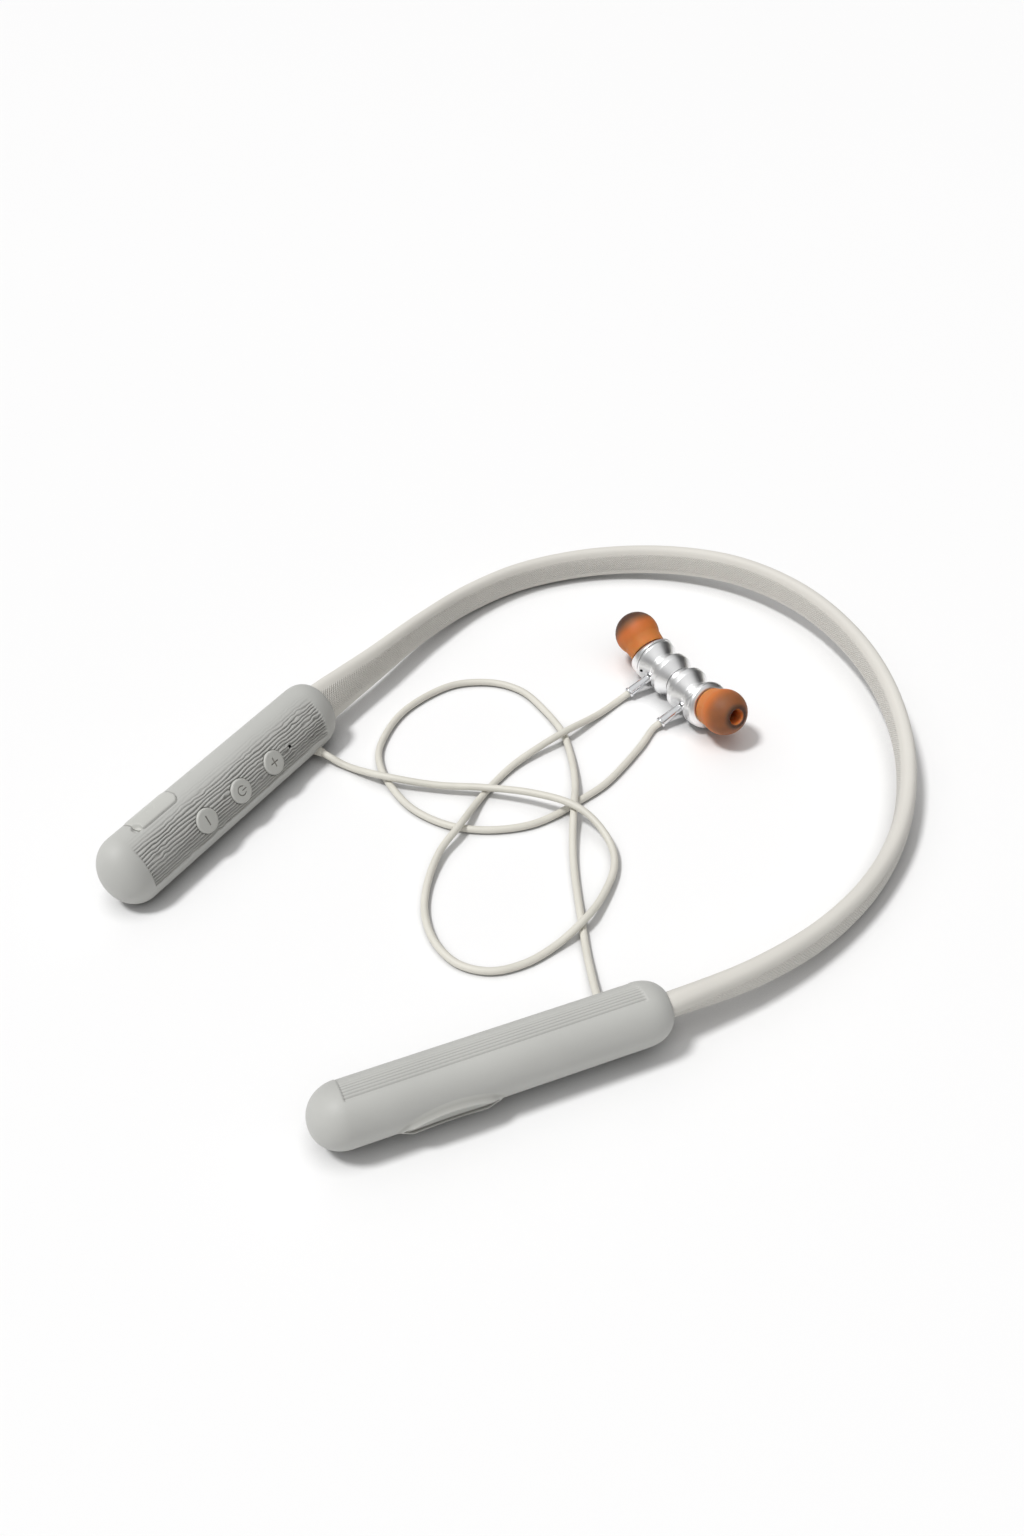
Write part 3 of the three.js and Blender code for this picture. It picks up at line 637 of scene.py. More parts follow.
def snapped(u, v, distance, reach=0.11):
    """The points with those close to an outline moved onto it, and the signed distance after that."""
    step = 1e-4
    d = distance(u, v)
    du = (distance(u + step, v) - d) / step
    dv = (distance(u, v + step) - d) / step
    near = np.abs(d) < reach
    u = np.where(near, u - d * du, u)
    v = np.where(near, v - d * dv, v)
    return u, v, np.where(near, 0, d)


def edge_height(x):
    """The height of the pod's plain upper edge over its axis, at x from the middle."""
    return HALF_BROAD * np.sqrt(1 - (x / HALF_THIN) ** 2)


class Skin:
    """One half of a pod's skin, as a fine grid of points that each feature moves a little."""

    def __init__(self, first_angle):
        distance, factor = pod_rings()
        angle = np.linspace(first_angle, first_angle + math.pi, HALF_COLUMNS + 1)
        self.y, self.angle = np.meshgrid(distance, angle, indexing="ij")
        self.x = HALF_THIN * factor[:, None] * np.cos(self.angle)
        self.z = HALF_BROAD * factor[:, None] * np.sin(self.angle)
        # Both are measured round the section from the face: arc in millimetres, polar in degrees.
        self.arc = np.interp(self.angle, ARC_ANGLE, ARC_RUN)
        self.polar = np.degrees(np.unwrap(np.arctan2(self.z, self.x), axis=1))
        # The fields below pick faces to leave out, faces painted black as shade in a hole, and painted shade
        # for grooves and gaps.
        self.hole = np.zeros(self.x.shape, bool)
        self.dark = np.zeros(self.x.shape, bool)
        self.mark = np.zeros(self.x.shape)

    def sink(self, depth):
        """Pushes the skin in along its normal."""
        nx, nz = self.x / HALF_THIN**2, self.z / HALF_BROAD**2
        size = np.hypot(nx, nz) + 1e-9
        self.x = self.x - depth * nx / size
        self.z = self.z - depth * nz / size

    def inside_outline(self, across, facing, distance):
        """Where the skin is inside an outline, after the points close to the outline move onto it."""
        side = getattr(self, across)
        y, new_side, d = snapped(self.y, side, distance)
        moved = facing & (d == 0)
        self.y = np.where(moved, y, self.y)
        setattr(self, across, np.where(moved, new_side, side))
        return facing & (d < 0)

    def well_in_face(self, distance, floor, dark=False):
        """A straight-sided well into the face, seen along X, down to floor."""
        inside = self.inside_outline("z", self.x > 0, distance)
        self.x = np.where(inside, np.minimum(self.x, floor), self.x)
        if dark:
            self.dark |= inside

    def well_in_edge(self, distance, deep):
        """A well of even depth into the upper edge, seen along Z."""
        inside = self.inside_outline("x", self.z > 0, distance)
        self.z = np.where(inside, edge_height(self.x) - deep, self.z)

    def open_in_edge(self, distance):
        """An opening through the upper edge."""
        self.hole |= (self.z > 0) & (distance(self.y, self.x) < 0)

    def band_socket(self):
        """A narrow groove round the band where it goes into the pod's end."""
        half_thin = BAND_THICK * BAND_END_SCALE / 2 + BAND_SOCKET_GAP
        half_tall = BAND_HEIGHT * BAND_END_SCALE / 2 + BAND_SOCKET_GAP
        level = (np.abs(self.x / half_thin) ** 2.5 + np.abs(self.z / half_tall) ** 2.5) ** 0.4
        at_end = self.y > POD_LENGTH - BAND_CAP
        push = smoothstep(1.035, 0.965, level) * at_end
        self.y = self.y - BAND_SOCKET_DEPTH * push

    def piece(self, name, matrix, replaced):
        """The finished mesh, without its openings, closed by a fan at either end."""
        rows, columns = self.x.shape
        points = np.stack([self.x, self.y, self.z], axis=-1).reshape(-1, 3)
        hole, dark = self.hole.reshape(-1), self.dark.reshape(-1)
        faces = [f for f in grid_faces(rows, columns) if not all(hole[i] for i in f)]
        count = len(points)
        points = np.concatenate([points, [[0, 0, 0], [0, POD_LENGTH - BAND_SOCKET_DEPTH, 0]]])
        faces += [(count, j + 1, j) for j in range(columns - 1)]
        last = (rows - 1) * columns
        faces += [(count + 1, last + j, last + j + 1) for j in range(columns - 1)]
        made = make_piece(name, points, faces, POD_GREY, "neckband", replaced, matrix,
                          flip=True)
        # Faces flagged dark take the black material as painted shade in the microphone hole; the point
        # attribute carries the painted shade of grooves and gaps.
        made.data.materials.append(HOLE_SHADE)
        black = [int(any(dark[i] for i in f if i < count)) for f in faces]
        made.data.polygons.foreach_set("material_index", black)
        point_attribute(made, "mark", [*self.mark.reshape(-1), 0, 0])


SEAM_DEPTH = 0.07
SEAM_WIDTH = 0.02  # radians of the section's own angle


def seam(skin):
    """A hairline groove along the lower edge, where the two shells meet."""
    for at in (-math.pi / 2, 1.5 * math.pi):
        skin.sink(SEAM_DEPTH * np.exp(-(((skin.angle - at) / SEAM_WIDTH) ** 2)))


BUTTON_PLACES = {"volume_down": 26.5, "power": 38.5, "volume_up": 50.5}
BUTTON_WELL_FLOOR = 5.2
BUTTON_GAP = 0.2
MIC_FLOOR = 5.4
RIB_PITCH = 0.84
RIBS_START = 7.2
RIBS_END = 70


def left_ribs(skin):
    """Slightly wavy fine ribs over the face, fading out towards the upper edge, with painted shade in their
    grooves.
    """
    patch = smoothstep(-0.4, 0.5, lattice_noise(skin.y / 6, skin.arc / 3, 6))
    wave = 0.22 * lattice_noise(skin.y / 5, skin.arc / 2.2, 3)
    wave = wave + (0.08 + 0.3 * patch) * lattice_noise(skin.y / 1.3, skin.arc / 0.8, 4)
    groove = 0.5 - 0.5 * np.cos(2 * math.pi * (skin.arc / RIB_PITCH + wave))
    uneven = 0.85 + 0.25 * lattice_noise(skin.y / 5, skin.arc / 3, 5)
    ends = smoothstep(RIBS_START, RIBS_START + 0.4, skin.y) * smoothstep(RIBS_END, RIBS_END - 0.4, skin.y)
    low = smoothstep(-49, -45, skin.polar)
    full = smoothstep(50, 26, skin.polar)
    faint = smoothstep(72, 54, skin.polar)
    deeper = 0.3 + 0.14 * smoothstep(15, -30, skin.polar)
    depth = 0.08 * full + groove**1.4 * uneven * (deeper * full + 0.05 * faint)
    skin.sink(depth * ends * low)
    # Painted shade in the rib grooves.
    skin.mark += 0.62 * groove**2.5 * uneven * full * ends * low


def cover_gap(u, v):
    """Signed distance to the recess that the port cover lies in."""
    return slot_distance(u, v - COVER_SHIFT, PORT_Y, COVER_LENGTH, COVER_WIDTH, COVER_CORNER) - COVER_GAP


def socket_distance(u, v):
    """Signed distance to the charging socket's opening."""
    return slot_distance(u, v, PORT_Y, SOCKET_LENGTH, SOCKET_WIDTH)


def left_face(skin):
    """Ribs, three button wells and the microphone hole."""
    left_ribs(skin)
    reach = BUTTON_RADIUS + BUTTON_GAP
    for y in BUTTON_PLACES.values():
        skin.well_in_face(lambda u, v, y=y: circle_distance(u, v, y, BUTTON_Z, reach), BUTTON_WELL_FLOOR)
    # The microphone well's floor is painted black: painted shade standing in for the hole's depth.
    skin.well_in_face(lambda u, v: circle_distance(u, v, MIC_Y, MIC_Z, MIC_RADIUS), MIC_FLOOR, dark=True)


def port_recess(skin):
    """A scoop for a fingertip, the cover's recess with painted shade in it, and the opening over the charging
    socket.
    """
    scoop = np.hypot(skin.y - PORT_Y + COVER_LENGTH / 2, skin.x - NOTCH_X - COVER_SHIFT)
    skin.sink(0.8 * smoothstep(1.25, 0.5, scoop) * (skin.z > 0))
    skin.well_in_edge(cover_gap, COVER_RECESS)
    # Painted shade in the recess round the cover.
    skin.mark += 0.3 * (skin.z > 0) * (cover_gap(skin.y, skin.x) < 0.02)
    skin.well_in_edge(lambda u, v: socket_distance(u, v) - SOCKET_RIM, SOCKET_RECESS)
    skin.open_in_edge(socket_distance)


PANEL_TOP = 80  # degrees round the section from the face
PANEL_FOOT = -62
PANEL_END = 70.4


def right_panel(skin):
    """A slightly sunk panel of straight fine ribs that are clearest beside its upper outline, with painted
    shade along the outline and in the grooves near it.
    """
    inside = (skin.polar > PANEL_FOOT) & (skin.polar < PANEL_TOP)
    inside &= (skin.y > RIBS_START) & (skin.y < PANEL_END)
    from_top = np.interp(math.radians(PANEL_TOP), ARC_ANGLE, ARC_RUN) - skin.arc
    groove = 0.5 - 0.5 * np.cos(2 * math.pi * (from_top - 0.5) / RIB_PITCH)
    clear = 0.25 + 0.75 * smoothstep(7.5, 5, from_top)
    outline = np.maximum(smoothstep(0.4, 0.12, from_top), 0.6 * smoothstep(0.4, 0.12, skin.y - RIBS_START))
    skin.sink(np.where(inside, 0.13 + 0.2 * clear * groove**1.3 + 0.12 * outline, 0))
    # Painted shade along the panel's outline and in its upper grooves.
    skin.mark += np.where(inside, 0.55 * outline + 0.38 * smoothstep(6.5, 4, from_top) * groove**5, 0)


# The call button's outline, in its own frame: u along the pod and q across its outer side.
CALL_HALF_LENGTH = 10.1
CALL_HALF_WIDTH = 3.8
PAD_GAP = 0.5


def call_frame():
    """X along the pod, Y across, and Z out of the outer side at the call button."""
    matrix, *_ = pod_frame(1)
    out = Vector((-math.cos(CALL_TILT), 0, math.sin(CALL_TILT)))
    across = Vector((math.sin(CALL_TILT), 0, math.cos(CALL_TILT)))
    return matrix @ placed((0, 1, 0), across, out, (0, CALL_Y, 0))


def pod_height(q):
    """How far the pod's plain skin stands out in the call button's frame at each q across."""
    c, s = math.cos(CALL_TILT), math.sin(CALL_TILT)
    a = (c / HALF_THIN) ** 2 + (s / HALF_BROAD) ** 2
    b = 2 * q * c * s * (1 / HALF_BROAD**2 - 1 / HALF_THIN**2)
    k = q**2 * ((s / HALF_THIN) ** 2 + (c / HALF_BROAD) ** 2) - 1
    return (-b + np.sqrt(b * b - 4 * a * k)) / (2 * a)


def call_outline(offset, sides=200):
    """Points of the boat-shaped outline, moved outwards by offset."""
    t = np.linspace(0, 2 * math.pi, sides, endpoint=False)
    c, s = np.cos(t), np.sin(t)
    u = CALL_HALF_LENGTH * signed_power(c, 1.12)
    q = CALL_HALF_WIDTH * s
    du, dq = np.roll(u, -1) - np.roll(u, 1), np.roll(q, -1) - np.roll(q, 1)
    size = np.hypot(du, dq) + 1e-9
    return u + offset * dq / size, q - offset * du / size


def call_bezel():
    """A raised lip that runs out into the pod's skin, with painted shade on its lower outer slope and down
    its inner wall.
    """
    profile = [(1.9, -0.06), (1.5, 0), (1.1, 0.1), (0.75, 0.3), (0.45, 0.6), (0.2, 0.92), (0.05, 1.04),
               (-0.1, 1), (-0.22, 0.8), (-0.3, 0.3), (-0.32, -0.6)]
    rows = []
    for offset, height in profile:
        u, q = call_outline(offset)
        fade = 1 - 0.6 * smoothstep(0.75, 1, np.abs(u) / CALL_HALF_LENGTH)
        rows.append(np.stack([u, q, pod_height(q) + height * np.where(height > 0, fade, 1)], axis=1))
    points, faces = lofted(rows)
    lip = make_piece("call_button_lip", points, faces, BUTTON_GREY, "neckband",
                     ["call_button_bezel"], call_frame(), flip=True)
    # Painted shade on the lip's lower outer slope and down its inner wall into the gap.
    crease_shade = [0, 0, 0.1, 0.25, 0.15, 0, 0, 0, 0.3, 0.9, 0.9]
    point_attribute(lip, "mark", np.repeat(crease_shade, len(rows[0])))


def call_pad():
    """A concave pad inside the lip, with painted shade round its edge."""
    rows = []
    shrinks = np.linspace(0.02, 1, 26)
    for shrink in shrinks:
        u, q = call_outline(-PAD_GAP)
        u, q = u * shrink, q * shrink
        dish = 0.95 * (1 - shrink**2.2)
        rows.append(np.stack([u, q, pod_height(q) + 0.4 - dish], axis=1))
    skirt = [(0.02, 0.1), (0.04, 0.3), (0.04, 0.95)]
    for swell, drop in skirt:
        u, q = call_outline(swell - PAD_GAP)
        rows.append(np.stack([u, q, pod_height(q) + 0.4 - drop], axis=1))
    points, faces = lofted(rows)
    sides = len(rows[0])
    faces.append(tuple(reversed(range(sides))))
    pad = make_piece("call_button_pad", points, faces, BUTTON_GREY, "call_button",
                     ["call_button"], call_frame())
    ring = np.repeat([*shrinks, *[1] * len(skirt)], sides)
    # Painted shade round the pad's edge, next to the gap.
    point_attribute(pad, "mark", 0.8 * smoothstep(0.86, 1, ring))


def call_recess(skin):
    """A hollow in the outer side behind the call button."""
    c, s = math.cos(CALL_TILT), math.sin(CALL_TILT)
    u = np.abs(skin.y - CALL_Y) / (CALL_HALF_LENGTH - 0.1)
    q = np.abs(skin.x * s + skin.z * c) / (CALL_HALF_WIDTH - 0.1)
    skin.sink(2 * smoothstep(1.12, 0.98, u**1.8 + q**2) * (skin.x < 0))


def pod(name, side, shape_face, shape_both):
    """Both halves of a pod's skin, each after the features that lie on it."""
    halves = {"face": Skin(-math.pi / 2), "back": Skin(math.pi / 2)}
    shape_face(halves["face"])
    for half, skin in halves.items():
        shape_both(skin)
        seam(skin)
        skin.band_socket()
        skin.piece(f"{name}_pod_{half}_skin", pod_frame(side)[0], [f"{name}_pod_{half}_shell"])


# ---- round buttons ----
def stroke_distance(u, v, u0, v0, u1, v1):
    """Distance to a straight stroke."""
    du, dv = u1 - u0, v1 - v0
    t = np.clip(((u - u0) * du + (v - v0) * dv) / (du * du + dv * dv), 0, 1)
    return np.hypot(u - u0 - t * du, v - v0 - t * dv)


def minus_sign(u, v):
    return stroke_distance(u, v, 0, -1.15, 0, 1.15)


def plus_sign(u, v):
    return np.minimum(minus_sign(u, v), stroke_distance(u, v, -1.05, 0, 1.05, 0))


def power_sign(u, v):
    """An open ring with a tick in its gap; the gap faces the band."""
    ring = np.abs(np.hypot(u, v) - 1.15)
    gap = (np.abs(np.arctan2(v, u)) < math.radians(38))
    return 0.04 + np.minimum(np.where(gap, 9, ring), stroke_distance(u, v, 0.2, 0, 1.35, 0))


SIGNS = {"volume_down": minus_sign, "power": power_sign, "volume_up": plus_sign}


def round_button(name, y):
    """A domed cap with a rounded rim and an engraved sign, with painted shade in the sign's strokes."""
    radius = BUTTON_RADIUS + 0.02
    rim = 0.5
    dome = 0.1
    sign_depth = 0.2
    flat = np.linspace(0.01, radius - rim, 52)
    bend = np.linspace(0, math.pi / 2, 9)[1:]
    crown = dome * (1 - (flat / radius) ** 2)
    shoulder = 0.02 - rim * 0.75 * (1 - np.cos(bend))
    radii = np.concatenate([flat, radius - rim + rim * np.sin(bend), [radius, radius, radius - 0.1]])
    heights = np.concatenate([crown, shoulder, [-0.8, -2.2, -2.4]])
    angles = np.linspace(0, 2 * math.pi, 144, endpoint=False)
    r, a = np.meshgrid(radii, angles, indexing="ij")
    u, v = r * np.cos(a), r * np.sin(a)
    cut = smoothstep(0.24, 0.1, SIGNS[name](u, v)) * (r < 2)
    x = BUTTON_TOP - 0.08 + heights[:, None] - sign_depth * cut
    points, faces = lofted(np.stack([x, y + u, BUTTON_Z + v], axis=-1), closed=True)
    piece = make_piece(name + "_cap", points, faces, BUTTON_GREY, name + "_button",
                       [name + "_button"], pod_frame(-1)[0])
    # Painted shade in the engraved strokes.
    point_attribute(piece, "mark", 0.75 * cut.reshape(-1))


# ---- charging port cover ----
def port_cover():
    """A soft cover flush with the pod's upper edge.

    It has a finger notch at its tip end and two tiny moulding dots.
    """
    sides = 160
    t = np.linspace(0, 2 * math.pi, 721)
    c, s = np.cos(t), np.sin(t)
    dense_u = np.sign(c) * (COVER_LENGTH / 2 - COVER_CORNER) + COVER_CORNER * c
    dense_v = np.sign(s) * (COVER_WIDTH / 2 - COVER_CORNER) + COVER_CORNER * s
    run = np.concatenate([[0], np.cumsum(np.hypot(np.diff(dense_u), np.diff(dense_v)))])
    at = np.linspace(0, run[-1], sides, endpoint=False)
    edge_u, edge_v = np.interp(at, run, dense_u), np.interp(at, run, dense_v)
    flat = [(ring, 0) for ring in np.linspace(0.01, 0.94, 34)]
    rim = [(0.96, 0.02), (0.98, 0.06), (0.995, 0.14), (1, 0.3), (1, COVER_THICK)]
    rows = []
    for ring, drop in flat + rim:
        u, v = edge_u * ring, edge_v * ring
        z = edge_height(v + COVER_SHIFT) + 0.18 - drop
        notch = np.hypot(u + COVER_LENGTH / 2, v - NOTCH_X) - 1.2
        z = z - 1.1 * smoothstep(0.1, -0.2, notch) * (drop < COVER_THICK)
        for dot in (-1.6, 0.5):
            z = z - 0.1 * smoothstep(0.3, 0.15, np.hypot(u - dot, v - 0.9))
        rows.append(np.stack([v + COVER_SHIFT, PORT_Y + u, z], axis=1))
    points, faces = lofted(rows, closed=True)
    make_piece("charging_port_flap", points, faces, BUTTON_GREY, "port_cover",
               ["charging_port_cover"], pod_frame(-1)[0], flip=True)


# ---- cord glands ----
def cord_gland(name, side):
    """A tapered rubber strain relief with shallow rings, where the cord leaves the pod."""
    profile = [(0, GLAND_START - 1), (GLAND_RADIUS, GLAND_START - 1), (GLAND_RADIUS, GLAND_START + 1.4)]
    for i in range(GLAND_RINGS):
        y = GLAND_START + 1.6 + i * (GLAND_END - GLAND_START - 1.8) / GLAND_RINGS
        r = GLAND_RADIUS - 0.02 - 0.22 * i / GLAND_RINGS
        profile += [(r - 0.14, y), (r, y + 0.12), (r - 0.02, y + 0.36)]
    profile += [(1.08, GLAND_END), (CORD_RADIUS, GLAND_END + 0.05), (0, GLAND_END + 0.05)]
    points, faces = turned(rounded(profile, 0.06, 2), 48)
    make_piece(name + "_strain_relief", points, faces, CORD_RUBBER, "neckband",
               [name + "_cord_gland"], gland_frame(side))


# ---- neckband ----
def band_section():
    """The band's outline in height and thickness, and each point's share of weave and distance round it."""
    count = 72
    t = (np.arange(count) + 0.5) / count * 2 * math.pi
    c, s = np.cos(t), np.sin(t)
    h = BAND_HEIGHT / 2 * signed_power(c, 0.8)
    w = BAND_THICK / 2 * signed_power(s, 0.8)
    groove = np.exp(-((h + 2.9) / 0.16) ** 2) * (w < 0)
    w = w + 0.09 * groove
    face = smoothstep(3.1, 2.3, np.abs(h - 0.1)) * (np.abs(w) > 1.5)
    around = np.concatenate([[0], np.cumsum(np.hypot(np.diff(h), np.diff(w)))])
    return h, w, face, around


def neckband():
    """The silicone band: a rounded flat section along the route, which turns upright away from the pods."""
    _, left_along, _, left_end = pod_frame(-1)
    _, right_along, _, right_end = pod_frame(1)
    route = [left_end - left_along * BAND_INSERT, left_end, *BAND_ROUTE, right_end,
             right_end - right_along * BAND_INSERT]
    line, run = evenly(smooth_line(route, 40), 0.6)
    tangent = np.gradient(line, axis=0)
    tangent /= np.linalg.norm(tangent, axis=1)[:, None]
    inward = np.cross(tangent, (0, 0, 1))
    inward /= np.linalg.norm(inward, axis=1)[:, None]
    rise = np.cross(inward, tangent)
    from_end = np.minimum(run, run[-1] - run)
    near = np.minimum(1, 1.2 * np.maximum(0, 1 - from_end / BAND_TWIST_LENGTH) ** 2)[:, None]
    turn = POD_TILT * near
    scale = 1 + (BAND_END_SCALE - 1) * near
    thin = (inward * np.cos(turn) + rise * np.sin(turn)) * scale
    tall = (rise * np.cos(turn) - inward * np.sin(turn)) * scale
    h, w, face, around = band_section()
    points = line[:, None] + tall[:, None] * h[None, :, None] + thin[:, None] * w[None, :, None]
    faces = grid_faces(len(line), len(h), wrap=True)
    piece = make_piece("neckband_skin", points, faces, BAND_SILICONE, "neckband",
                       ["neckband_sleeve"])
    point_attribute(piece, "face", np.tile(face, len(line)))
    uv = piece.data.uv_layers.new(name="band")
    loops = np.zeros(len(piece.data.loops), int)
    piece.data.loops.foreach_get("vertex_index", loops)
    across = around[loops % len(h)]
    uv.data.foreach_set("uv", np.stack([run[loops // len(h)], across], axis=1).reshape(-1))


# ---- earbuds ----
def rear_housing(name, side):
    """Turned cones round a raised ring and a narrow waist, with a flat magnetic back."""
    rim = FLANGE_Y - 0.25
    profile = rounded([
        (0, 0.12), (4.1, 0.12), (5.92, 2.65), (6.02, 2.8), (6.02, 4.3), (5.92, 4.45),
        (4.25, 6.85), (4.25, 7.35), (5.98, 9.75), (6.1, 9.9), (6.1, rim), (0, rim),
    ], 0.1)
    points, faces = turned(profile, 128)
    make_piece(name + "_rear_body", points, faces, ALUMINIUM, "neckband",
               [name + "_bud_rear_housing"], bud_frame(side))


VENT_Y = 9.3
VENT_REACH = 5.66
VENT_ANGLE = math.radians(162)
VENT_RADIUS = 0.42


def vent_hole():
    """A tiny vent beside the left stem, on the cone that faces the flange: a black disc and shallow cone,
    painted shade standing in for the hole.
    """
    out = Vector((math.cos(VENT_ANGLE), 0, math.sin(VENT_ANGLE)))
    round_way = Vector((-math.sin(VENT_ANGLE), 0, math.cos(VENT_ANGLE)))
    slope = (out * 1.73 + Vector((0, 2.4, 0))).normalized()
    normal = round_way.cross(slope)
    if normal.dot(out) < 0:
        normal = -normal
    centre = out * VENT_REACH + Vector((0, VENT_Y, 0)) + normal * 0.04
    sides = 24
    ring = [centre + (round_way * math.cos(t) + slope * math.sin(t)) * VENT_RADIUS
            for t in np.linspace(0, 2 * math.pi, sides, endpoint=False)]
    faces = [(sides, j, (j + 1) % sides) for j in range(sides)]
    faces += [(sides + 1, (j + 1) % sides, j) for j in range(sides)]
    make_piece("left_vent_hole", [*ring, centre, centre - normal * 0.5], faces, HOLE_SHADE, "neckband",
               matrix=bud_frame(-1))


def front_housing(name, side):
    """A wedge behind the flange, its rounded shoulder, and the nozzle, which is open at its lip."""
    back = [(5.5 + 0.7 * t, -3.2 + 3.5 * t) for t in np.linspace(0, 1, 16)]
    profile = [(0, -3.2)] + back + rounded([
        (6.2, 0.5), (6.2, 1.9), (5.95, 2.5), (5.2, 2.95), (2.4, 3.4), (2.2, 3.7), (2.2, 7.2),
        (2.5, 7.5), (2.5, 8), (2.3, 8.2), (1.75, 8.2), (1.6, 8), (1.6, NOZZLE_TIP), (0, NOZZLE_TIP),
    ], 0.14)
    points, faces = turned(profile, 128)
    tilt = np.array(bud_frame(side).inverted() @ nozzle_frame(side))
    points = np.array(points) @ tilt[:3, :3].T + tilt[:3, 3]
    points[:, 1] = np.maximum(points[:, 1], FLANGE_Y - 0.15)
    make_piece(name + "_front_body", points, faces, ALUMINIUM, "neckband",
               [name + "_bud_front_housing"], bud_frame(side))


def cord_stem(name, side):
    """A polished stem with a ball root and a thin collar where the cord goes in."""
    profile = rounded([
        (0, 2.9), (1.25, 3), (1.6, 3.8), (1.5, 4.6), (1.1, 5.1), (1.12, 5.5), (1.28, STEM_LENGTH - 0.75),
        (1.46, STEM_LENGTH - 0.7), (1.5, STEM_LENGTH - 0.35), (1.42, STEM_LENGTH), (0.95, STEM_LENGTH),
        (0.92, STEM_LENGTH - 0.3), (0, STEM_LENGTH - 0.3),
    ], 0.1)
    points, faces = turned(profile, 64)
    stem = Matrix.Translation((0, BUD_PITCH, 0)) @ Matrix.Rotation(math.pi / 2, 4, "Z")
    make_piece(name + "_stem", points, faces, CHROME, "neckband", [name + "_bud_cord_stem"],
               bud_frame(side) @ stem)


END_SHADE = {"left": 0.42, "right": 0.05}  # how much painted shade darkens each tip's far end


def eartip(name, side):
    """A thin silicone dome on the nozzle, open behind, with a soft-edged hole in front."""
    centre = TIP_CENTRE[name]
    arc = lambda radius, start, stop, steps: [
        (radius * math.cos(math.radians(a)), centre + radius * math.sin(math.radians(a)))
        for a in np.linspace(start, stop, steps)
    ]
    skirt = TIP_SKIRT
    outer = [(TIP_RADIUS - 1.1, skirt), (TIP_RADIUS - 0.9, skirt + 0.6), *arc(TIP_RADIUS, -28, 60, 26)]
    lip = [(2.6, centre + 5.35), (2.2, centre + 5.25), (2, centre + 4.9), (1.85, centre + 4.2)]
    bore = [
        (1.5, NOZZLE_TIP + 0.8), (2.75, NOZZLE_TIP + 0.6), (2.75, skirt + 1.3),
        (3.3, skirt + 1.1), (3.6, skirt + 1.4), (3.6, centre + 0.6),
    ]
    inner = [*arc(TIP_RADIUS - 0.75, 34, -24, 10), (TIP_RADIUS - 1.5, skirt + 0.4), (TIP_RADIUS - 1, skirt)]
    points, faces = turned([*outer, *lip, *bore, *inner], 112)
    piece = make_piece(name + "_dome", points, faces, EARTIP_SILICONE, name + "_eartip",
                       [name + "_bud_eartip"], nozzle_frame(side))
    along = np.array(points)[:, 1]
    reach = np.hypot(np.array(points)[:, 0], np.array(points)[:, 2])
    depth = smoothstep(centre - 4.5, centre + 3.2, along) * 0.6
    # Painted shade: the far end made darker, much more on the left tip than on the right.
    depth = depth + END_SHADE[name] * smoothstep(centre - 0.2, centre + 4, along)
    depth = depth + 0.36 * smoothstep(3.9, 2.4, reach) * (along > centre + 3)
    depth = depth * (1 - smoothstep(2.15, 1.9, reach) * (along > centre))
    point_attribute(piece, "depth", depth)


def earbuds():
    for name, side in SIDES:
        rear_housing(name, side)
        front_housing(name, side)
        cord_stem(name, side)
        eartip(name, side)
    vent_hole()


# ---- pieces kept from the CAD ----
KEPT = {
    BLACK: ["volume_down_switch", "power_switch", "volume_up_switch", "call_button_switch",
            "left_band_anchor", "right_band_anchor", "neckband_wire_harness"],
    BOARD_GREEN: ["main_circuit_board", "call_button_board"],
    STEEL: ["wireless_module", "microphone", "charging_socket", "neckband_spring_core", "left_bud_magnet",
            "right_bud_magnet", "left_bud_driver", "right_bud_driver", "left_bud_nozzle_mesh",
            "right_bud_nozzle_mesh"],
    CORD_RUBBER: ["button_membrane"],
    CELL_FOIL: ["battery_cell"],
}


def finish_kept_pieces():
    """Gives each inner piece of the CAD its material."""
    for material, names in KEPT.items():
        for name in names:
            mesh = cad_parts[name].data
            mesh.materials.clear()
            mesh.materials.append(material)


# ---- table and light ----
TABLE_HALF = 3  # metres
PAINTED_SHADOW_REACH = 0.006  # metres from a piece within which the table gets painted contact shadow
SUN_TRAVEL = Vector((0.21, 0.42, -1))
SUN_ENERGY = 2.1
SUN_ANGLE = math.radians(11)
SKY_STRENGTH = 0.78
SKY_LEVELS = [(0.0, 0.3), (0.2, 0.26), (0.42, 0.36), (0.62, 0.85), (1.0, 1.0)]  # height, brightness
DARK_SIDE = Vector((0.1, 0.9, 0.34))
DARK_RANGE = (0.66, 0.92, 1, 0.03)  # closeness to the dark side's middle, and brightness, at either edge


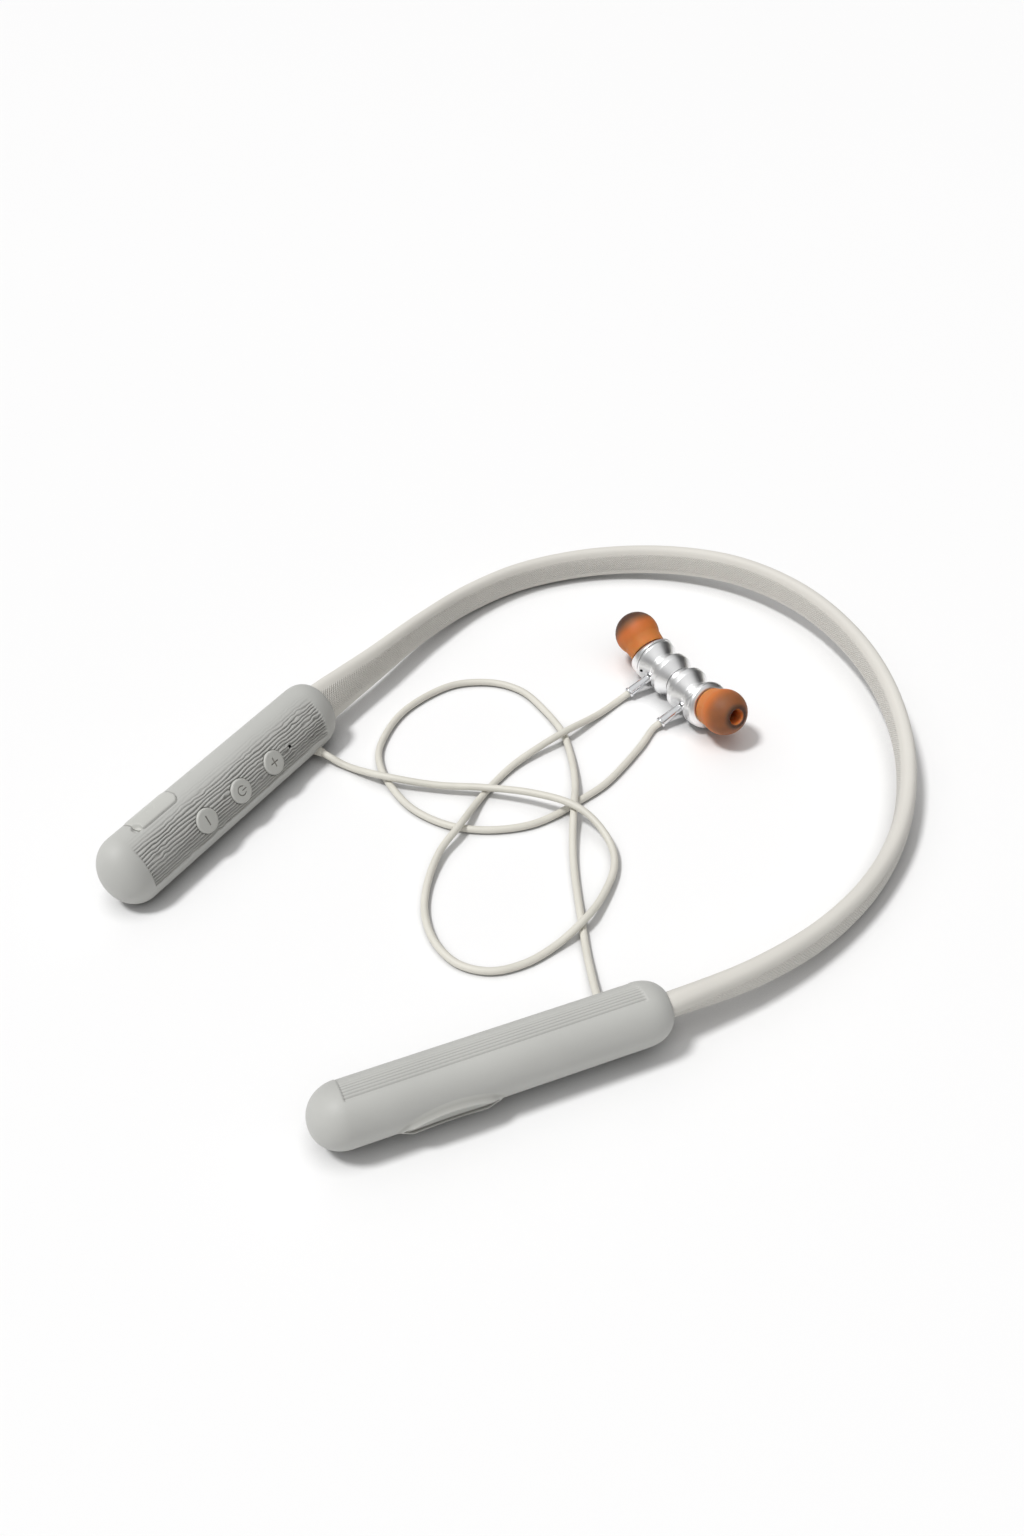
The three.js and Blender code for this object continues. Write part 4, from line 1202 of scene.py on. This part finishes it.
def make_table():
    """A white table with painted contact shadow: its colour darkens close to the pieces lying on it."""
    corners = [(x * TABLE_HALF, y * TABLE_HALF, 0) for x, y in ((-1, -1), (1, -1), (1, 1), (-1, 1))]
    mesh = bpy.data.meshes.new("table")
    mesh.from_pydata(corners, [], [(0, 1, 2, 3)])
    table = linked("table", mesh)
    s = Shader("table_white", roughness=0.9)
    near = s.node("ShaderNodeAmbientOcclusion", {"Distance": PAINTED_SHADOW_REACH}, samples=8)
    # Ambient occlusion darkens the table's colour: painted contact shadow.
    contact_shadow = s.remap(near.outputs["AO"], 0.2, 0.85, 0.6, 0)
    white = s.ramp(s.noise(3, 2), (0.3, (0.875, 0.873, 0.873, 1)), (0.7, (0.88, 0.878, 0.878, 1)))
    s.set(Base_Color=s.mix(contact_shadow, white, (0.2, 0.2, 0.2, 1)), Specular_IOR_Level=0.1)
    mesh.materials.append(s.material)


def make_key_light():
    sun = linked("key", bpy.data.lights.new("key", "SUN"))
    sun.data.energy = SUN_ENERGY
    sun.data.angle = SUN_ANGLE
    sun.rotation_euler = SUN_TRAVEL.to_track_quat("-Z", "Y").to_euler()


def make_sky():
    """A soft white ceiling over a greyer horizon, with one dark patch low beyond the back of the neckband."""
    world = bpy.data.worlds.new("studio")
    bpy.context.scene.world = world
    world.use_nodes = True
    sky = Nodes(world.node_tree)
    direction = sky.node("ShaderNodeTexCoord").outputs["Generated"]
    height = sky.node("ShaderNodeSeparateXYZ", {0: direction}).outputs["Z"]
    level = sky.ramp(height, *[(at, (grey, grey, grey, 1)) for at, grey in SKY_LEVELS])
    patch = sky.remap(sky.dot(direction, DARK_SIDE.normalized()), *DARK_RANGE, form="SMOOTHSTEP")
    dim = sky.node("ShaderNodeVectorMath", {0: level}, operation="SCALE")
    sky.feed(dim.inputs["Scale"], patch)
    background = world.node_tree.nodes["Background"]
    sky.feed(background.inputs["Color"], dim.outputs[0])
    background.inputs["Strength"].default_value = SKY_STRENGTH


pod("left", -1, left_face, port_recess)
pod("right", 1, right_panel, call_recess)
call_bezel()
call_pad()
for button, place in BUTTON_PLACES.items():
    round_button(button, place)
port_cover()
for name, side in SIDES:
    cord_gland(name, side)
neckband()
earbuds()
finish_kept_pieces()
make_table()
make_key_light()
make_sky()
bpy.context.scene.view_settings.view_transform = "Standard"
